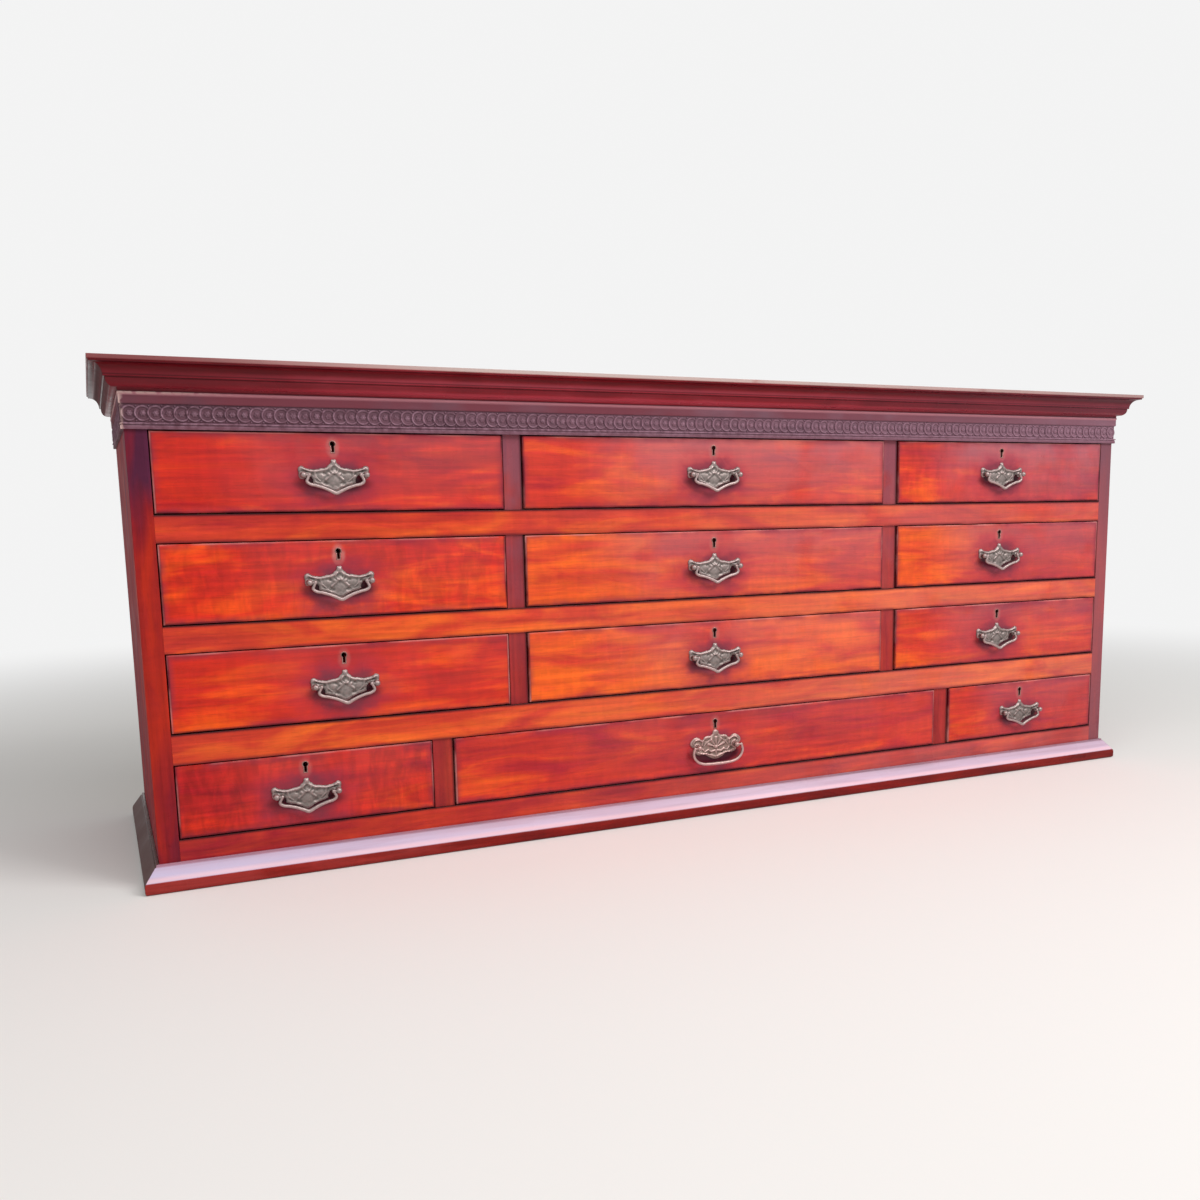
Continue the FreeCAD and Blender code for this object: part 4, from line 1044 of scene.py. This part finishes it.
def fan(x, y, centre, inner, outer, ribs, spread, height):
    """A shell of ribs that spread upwards from a centre."""
    away = np.hypot(x - centre[0], y - centre[1])
    angle = np.arctan2(x - centre[0], y - centre[1])
    wave = 0.5 + 0.5 * np.cos(angle * ribs / spread * math.pi)
    within = np.exp(-((np.maximum(np.abs(angle) - spread, 0) / 0.15) ** 2))
    band = 1 / (1 + np.exp(-(away - inner) * 3)) / (1 + np.exp((away - outer) * 3))
    return height * (0.35 + 0.65 * wave) * within * band


def cast_ground(edge, thickness=1.7):
    """A plate whose edge is rounded over, with a soft bead just inside it."""
    lip = np.clip(edge / 1.4, 0, 1)
    ground = thickness * (0.35 + 0.65 * np.sqrt(1 - (1 - lip) ** 2))
    bead = 0.32 * np.exp(-(((edge - 1.9) / 1.1) ** 2))
    dish = 0.25 / (1 + np.exp(-(edge - 3.6) * 1.8))
    return ground + bead - dish


# What stands up from each plate or is sunk into it, on one side and mirrored to the other:
# places and sizes across and up, then heights, in millimetres
WING_RELIEF = [
    (collar, (WING_POST_REACH, 0), 3.4, 0.9, 0.6),
    (mound, (34.6, 6.6), (3.2, 2.4), 1.3, 1.4),
    (stroke, [(3, 8.6), (10, 5.6), (18, 4.4), (26, 4.2), (32, 6.2)], 1.9, 0.7),
    (mound, (0, 13.2), (2.0, 2.4), 1.0, 1.4),
    (collar, (0, 6.2), 4.4, 1.1, 0.7),
    (mound, (0, -7), (6.0, 6.0), 0.9, 1.5),
    (stroke, [(0.3, 3.6), (4.6, -0.6), (9.5, -5)], 2.1, 1.0),
    (mound, (6.2, 1.2), (1.8, 1.6), 0.9, 1.3),
    (mound, (15, -1.4), (5.0, 3.4), 0.8, 1.5),
    (stroke, [(21.5, 2.5), (20.5, -2.5), (16, -6.5)], 1.5, 0.7),
    (mound, (0, -14.2), (3.4, 2.4), 0.6, 1.4),
    (mound, (9.6, -9.2), (3.0, 2.0), -0.9, 1.5),
    (mound, (10.8, 1.8), (2.0, 1.6), -0.6, 1.5),
    (mound, (24.6, 0.4), (1.8, 1.8), -0.7, 1.5),
]
CARTOUCHE_RELIEF = [
    (collar, (CARTOUCHE_POST_REACH, 0), 4.4, 0.8, 0.9),
    (stroke, [(21, 2.5), (20.5, 7), (25, 10.2), (31, 9.6), (34, 6.4), (33, 3.6)], 1.3, 1.2),
    (fan, (0, -1.5), 3.2, 14.5, 4, 1.25, 1.7),
    (mound, (0, -1.5), (3.4, 2.8), 2.2, 1.6),
    (mound, (0, 17), (2.0, 2.8), 1.0, 1.4),
    (stroke, [(1.5, -6), (7, -7.5), (12, -4.5), (17, -6.8), (20, -3.4)], 1.3, 1.3),
    (stroke, [(1, -14.5), (7, -12.2), (14, -9.8), (21, -9.4), (27, -7)], 1.2, 1.1),
    (stroke, [(0, -8), (0, -13.5)], 1.6, 1.2),
    (stroke, [(8, 9), (14, 5.5), (18.5, 0.5)], 1.1, 0.9),
    (mound, (10.5, -9.6), (3.4, 1.3), -0.8, 1.5),
    (mound, (24, -4.5), (2.6, 2.0), -0.9, 1.6),
    (mound, (16, 8.2), (2.2, 1.6), -0.7, 1.6),
]


def read(items, name, width, kind=float):
    """A value of each vertex or edge of a mesh, as the rows of an array."""
    values = np.empty(len(items) * width, dtype=kind)
    items.foreach_get(name, values)
    return values.reshape(-1, width)


def write_wear(piece, spread, blur, rubbed=0.0):
    """Stores how far each point stands out from its surroundings, from 0 in a hollow to 1. A
    rubbed share makes what faces the hand brighter and what faces the drawer duller."""
    mesh = piece.data
    places = read(mesh.vertices, "co", 3)
    normals = read(mesh.vertices, "normal", 3)
    ends = read(mesh.edges, "vertices", 2, np.int64)
    shared = np.bincount(ends.ravel(), minlength=len(places))[:, None]
    around = places.copy()
    for _ in range(blur):
        total = np.zeros_like(around)
        np.add.at(total, ends[:, 0], around[ends[:, 1]])
        np.add.at(total, ends[:, 1], around[ends[:, 0]])
        around = total / np.maximum(shared, 1)
    standing = np.einsum("ij,ij->i", places - around, normals)
    toward_hand = normals @ np.array((0, -0.8, -0.6))
    wear = np.clip(0.5 + standing / spread + rubbed * toward_hand, 0, 1)
    attribute = mesh.attributes.new("wear", "FLOAT", "POINT")
    attribute.data.foreach_set("value", wear.astype(np.float32))


def back_plate(name, size, shares, shapes, limits):
    """A cast plate: a fine grid raised into its relief, given a flat back, cut to the outline and
    stood up to face -Y with its middle on the line of the posts."""
    half = traced(shares, *size, 6)
    outline = half + [(-x, y) for x, y in reversed(half[1:-1])]
    step = PLATE_STEP
    top = max(y for x, y in outline) + step
    bottom = min(y for x, y in outline) - step
    width = size[0] + 2 * step
    grid = begin(
        bpy.ops.mesh.primitive_grid_add, name, x_subdivisions=round(width / step),
        y_subdivisions=round((top - bottom) / step), size=1, location=(0, (top + bottom) / 2, 0),
    )
    bpy.ops.transform.resize(value=(width, top - bottom, 1))
    make_active(grid)
    bpy.ops.object.transform_apply()
    places = read(grid.data.vertices, "co", 3)
    x, y = places[:, 0] / MM, places[:, 1] / MM
    height = cast_ground(distance_to([(px / MM, py / MM) for px, py in outline], x, y))
    for shape, *settings in shapes:
        height += shape(np.abs(x), y, *settings)
    places[:, 2] = np.clip(height, *limits) * MM
    grid.data.vertices.foreach_set("co", places.ravel())
    reopen(grid)
    draw_out((0, 0, -PLATE_DEPTH))
    bpy.ops.transform.resize(value=(1, 1, 0), center_override=(0, 0, 0))
    face_outwards()
    make_active(grid)
    cutter = begin(
        bpy.ops.mesh.primitive_circle_add, "plate_outline", vertices=len(outline), radius=1,
        fill_type="NGON",
    )
    make_active(cutter)
    for vert, (px, py) in zip(cutter.data.vertices, outline):
        vert.co = (px, py, -PLATE_DEPTH)
    reopen(cutter)
    draw_out((0, 0, 3 * PLATE_DEPTH))
    face_outwards()
    make_active(cutter)
    modify(grid, "BOOLEAN", operation="INTERSECT", object=cutter, solver="EXACT")
    bpy.data.objects.remove(cutter)
    grid.data.transform(Matrix.Rotation(QUARTER_TURN, 4, "X"))
    settle(grid, 60)
    write_wear(grid, 1.3 * MM, 7)
    return grid


def turned(name, profile, segments=28):
    """A turned solid about the Y axis, spun from radii and places along it in millimetres."""
    piece = begin(bpy.ops.mesh.primitive_plane_add, name, size=MM)
    bpy.ops.mesh.merge(type="CENTER")
    radius, along = profile[0]
    bpy.ops.transform.translate(value=(radius * MM, along * MM, 0))
    for next_radius, next_along in profile[1:]:
        step = ((next_radius - radius) * MM, (next_along - along) * MM, 0)
        draw_out(step)
        radius, along = next_radius, next_along
    bpy.ops.mesh.select_all(action="SELECT")
    bpy.ops.mesh.spin(steps=segments, angle=2 * math.pi, center=(0, 0, 0), axis=(0, 1, 0))
    face_outwards()
    return settle(piece, 50)


def handle_post():
    """A post: shank through the drawer front, collar and neck on the plate, and a ball bored for
    the pin of the bail."""
    radius = 3.6
    turns = [math.radians(turn) for turn in range(135, -1, -15)]
    middle = -PIVOT_STANDOFF / MM
    ball = [(radius * math.sin(turn), middle - radius * math.cos(turn)) for turn in turns]
    shank = [(0, 26), (1.7, 26), (2.2, 25.4), (2.2, -0.5), (3.3, -0.7), (3.4, -2.6), (2.9, -3.2)]
    post = turned("handle_post", shank + [(2.5, -4.2)] + ball)
    bpy.ops.mesh.primitive_cylinder_add(
        vertices=20, radius=BORE_RADIUS, depth=12 * MM, location=(0, -PIVOT_STANDOFF, 0),
        rotation=(0, QUARTER_TURN, 0),
    )
    bore = bpy.context.object
    modify(post, "BOOLEAN", operation="DIFFERENCE", object=bore, solver="EXACT")
    bpy.data.objects.remove(bore)
    settle(post, 50)
    write_wear(post, 0.9 * MM, 2)
    return post


# Half of each bail, from its pivot down to the middle: across, up, and radius. The place where
# its pin ends is across from the middle too. All are in millimetres.
SWAN_NECK_PATH = [
    (28.4, 0, 2.0), (30.4, -3.8, 1.85), (31.2, -7.0, 1.9), (28.2, -9.8, 1.95), (21.2, -11.6, 1.95),
    (12.6, -14.4, 2.0), (5.5, -17.6, 2.2), (0, -19.9, 2.4),
]
BROAD_PATH = [
    (35.2, 0, 2.0), (37.0, -5, 1.9), (36.7, -10.5, 1.9), (32.6, -16.8, 2.0), (25, -21, 2.1),
    (12, -22.6, 2.1), (0, -22.8, 2.3),
]
SWAN_NECK_PIN_END = 37.4
BROAD_PIN_END = 25.4


def cast_bail(name, path, pin_end):
    """A bail: a swept bow with a knuckle and a pin at each end, cast as one."""
    curve = bpy.data.curves.new(name, "CURVE")
    curve.dimensions = "3D"
    curve.bevel_depth = MM
    curve.bevel_resolution = 4
    curve.resolution_u = 6
    curve.use_fill_caps = True
    stations = path + [(-x, z, radius) for x, z, radius in reversed(path[:-1])]
    spline = curve.splines.new("BEZIER")
    spline.bezier_points.add(len(stations) - 1)
    for point, (x, z, radius) in zip(spline.bezier_points, stations):
        point.co = (x * MM, 0, z * MM)
        point.radius = radius
        point.handle_left_type = "AUTO"
        point.handle_right_type = "AUTO"
    make_active(linked(name, curve))
    bpy.ops.object.convert(target="MESH")
    pieces = [bpy.context.object]
    reach = path[0][0]
    for side in (-1, 1):
        bpy.ops.mesh.primitive_uv_sphere_add(
            segments=20, ring_count=12, radius=KNUCKLE_RADIUS,
            location=(side * reach * MM, 0, 0),
        )
        pieces.append(bpy.context.object)
        bpy.ops.mesh.primitive_cylinder_add(
            vertices=16, radius=PIN_RADIUS, depth=abs(pin_end - reach) * MM,
            location=(side * (reach + pin_end) / 2 * MM, 0, 0), rotation=(0, QUARTER_TURN, 0),
        )
        pieces.append(bpy.context.object)
    bail = joined(pieces, name)
    settle(bail, 60)
    voxel = BAIL_VOXEL
    modify(bail, "REMESH", mode="VOXEL", voxel_size=voxel)
    modify(bail, "SMOOTH", factor=0.5, iterations=3)
    settle(bail, 80)
    write_wear(bail, 2 * MM, 6, 0.35)
    return bail


RIM_PROUD = 0.35 * MM


def drawer_fittings(drawer):
    """Keyhole lining, lock and nuts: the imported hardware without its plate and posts, which are
    replaced, with their arrises softened."""
    piece = edited_node(f"hardware_{drawer}", f"fittings_{drawer}")
    choose(piece, "VERT", lambda vert: vert.co.y < FRONT - 0.1 * MM)
    bpy.ops.mesh.select_linked()
    bpy.ops.mesh.delete(type="VERT")
    # The rim of the lining stands RIM_PROUD out of the wood and is rounded
    choose(piece, "FACE", lambda face: (
        face.normal.y < -0.9 and face.calc_center_median().y < FRONT + NEAR
    ))
    draw_out((0, -RIM_PROUD, 0))
    choose(piece, "EDGE", lambda edge: (
        is_sharp(edge) and at_front(*edge.verts, front=FRONT - 0.3 * MM)
    ))
    bpy.ops.mesh.bevel(offset=0.25 * MM, segments=2)
    settle(piece, 50)
    places = [vert.co.y for vert in piece.data.vertices]
    wear = piece.data.attributes.new("wear", "FLOAT", "POINT")
    wear.data.foreach_set("value", [0.8 if place < FRONT + NEAR else 0.2 for place in places])
    return piece


wing_plate = back_plate("wing_plate", WING_SIZE, WING_SHARES, WING_RELIEF, (0.5, 5.4))
cartouche_plate = back_plate(
    "cartouche_plate", CARTOUCHE_SIZE, CARTOUCHE_SHARES, CARTOUCHE_RELIEF, (0.45, 6),
)
post_master = handle_post()
swan_neck_bail = cast_bail("swan_neck_bail", SWAN_NECK_PATH, SWAN_NECK_PIN_END)
broad_bail = cast_bail("broad_bail", BROAD_PATH, BROAD_PIN_END)

aged_brass = brass_finish("aged_cast_brass", "#302A28", "#857A76", "#B49C9A")
rubbed_brass = brass_finish("rubbed_cast_brass", "#40302A", "#988078", "#C6A09E")
lining_brass = brass_finish("keyhole_brass", "#3E2420", "#6E443E", "#A87A74", (0.35, 0.5))

for drawer in DRAWERS:
    broad = drawer == BROAD_DRAWER
    grip_low, grip_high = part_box(f"bail_{drawer}")
    middle = (grip_low.x + grip_high.x) / 2
    pivot_height = grip_high.z - KNUCKLE_RADIUS
    at = (middle, FRONT, pivot_height)
    body = f"drawer_{drawer}"
    brass = rubbed_brass if broad else aged_brass
    plate = placed_copy(cartouche_plate if broad else wing_plate, f"back_plate_{drawer}", at)
    dress(plate, body, brass)
    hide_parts(f"hardware_{drawer}")
    post_reach = (CARTOUCHE_POST_REACH if broad else WING_POST_REACH) * MM
    spots = [(middle + side * post_reach, FRONT, pivot_height) for side in (-1, 1)]
    posts = [placed_copy(post_master, f"posts_{drawer}", spot) for spot in spots]
    posts = joined(posts, f"posts_{drawer}")
    dress(posts, body, brass)
    dress(drawer_fittings(drawer), body, lining_brass)
    bail_at = (middle, FRONT - PIVOT_STANDOFF, pivot_height)
    bail = placed_copy(broad_bail if broad else swan_neck_bail, f"cast_bail_{drawer}", bail_at)
    dress(bail, f"bail_{drawer}", brass)
    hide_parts(f"bail_{drawer}")

for master in (wing_plate, cartouche_plate, post_master, swan_neck_bail, broad_bail):
    bpy.data.objects.remove(master)


# Studio
FLOOR_SIZE = 16
BACKDROP = 0.9
ROOM_LIGHT = 0.37
# Where the floor starts and ends to pass into the backdrop, in metres from the middle
SWEEP = (1.0, 2.8)


def background_seen(tree):
    """1 for the rays that show the background: the camera's, and those of mirrors and glass."""
    rays = add(tree, "LightPath").outputs
    seen = add(tree, "Math", (rays["Is Camera Ray"], rays["Is Glossy Ray"]), operation="MAXIMUM")
    return add(tree, "Math", (seen, rays["Is Transmission Ray"]), operation="MAXIMUM")


bpy.ops.mesh.primitive_plane_add(size=FLOOR_SIZE, location=(0, 0, -0.5 * MM))
floor = bpy.context.object
floor.name = "studio_floor"
floor_paint, tree, spot = new_material("matt_pale_floor")
paint = add(tree, "BsdfPrincipled", {"Base Color": "#EDEBE8", "Roughness": 0.9})
paint.inputs["Specular IOR Level"].default_value = 0.2
# Far from the case the floor passes into the backdrop, as a paper sweep does
distance = add(tree, "VectorMath", [spot], operation="LENGTH")
far_off = add(tree, "MapRange", (distance, *SWEEP), **SOFT)
far_off = add(tree, "Math", (far_off, background_seen(tree)), operation="MULTIPLY")
sweep = add(tree, "Emission", ("#FFFFFF", BACKDROP))
add(tree, "OutputMaterial", [add(tree, "MixShader", (far_off, paint, sweep))])
floor.data.materials.append(floor_paint)

world = bpy.data.worlds.new("studio_world")
world.use_nodes = True
tree = world.node_tree
tree.nodes.clear()
room_light = add(tree, "Background", ("#FFFFFF", ROOM_LIGHT))
backdrop = add(tree, "Background", ("#FFFFFF", BACKDROP))
add(tree, "OutputWorld", [add(tree, "MixShader", (background_seen(tree), room_light, backdrop))])
bpy.context.scene.world = world


def softbox(name, location, target, size, power):
    """A rectangular lamp that points at a target."""
    lamp_data = bpy.data.lights.new(name, "AREA")
    lamp_data.shape = "RECTANGLE"
    lamp_data.size, lamp_data.size_y = size
    lamp_data.energy = power
    lamp = linked(name, lamp_data)
    lamp.location = location
    toward = Vector(target) - lamp.location
    lamp.rotation_euler = toward.to_track_quat("-Z", "Y").to_euler()


softbox("key_softbox", (1.5, -2.3, 2.2), (0, -0.2, 0.25), (1.6, 1.2), 52)
softbox("overhead_softbox", (-0.4, -1.5, 2.5), (0, -0.2, 0.2), (2.8, 1.4), 34)

# Camera, solved from the corners of the case in the photograph
camera_data = bpy.data.cameras.new("photo_camera")
camera_data.lens = 34.254
camera_data.sensor_width = 36
camera_data.shift_x = -0.03075
camera_data.shift_y = 0.0707
camera = linked("photo_camera", camera_data)
CAMERA_PLACE = (-0.7400, -1.4832, 0.4008)
CAMERA_YAW, CAMERA_PITCH, CAMERA_ROLL = (math.radians(turn) for turn in (-25.282, -8.602, -0.929))
camera.matrix_world = (
    Matrix.Translation(CAMERA_PLACE) @ Matrix.Rotation(CAMERA_YAW, 4, "Z")
    @ Matrix.Rotation(QUARTER_TURN + CAMERA_PITCH, 4, "X") @ Matrix.Rotation(CAMERA_ROLL, 4, "Z")
)
bpy.context.scene.camera = camera
bpy.context.scene.view_settings.view_transform = "Standard"
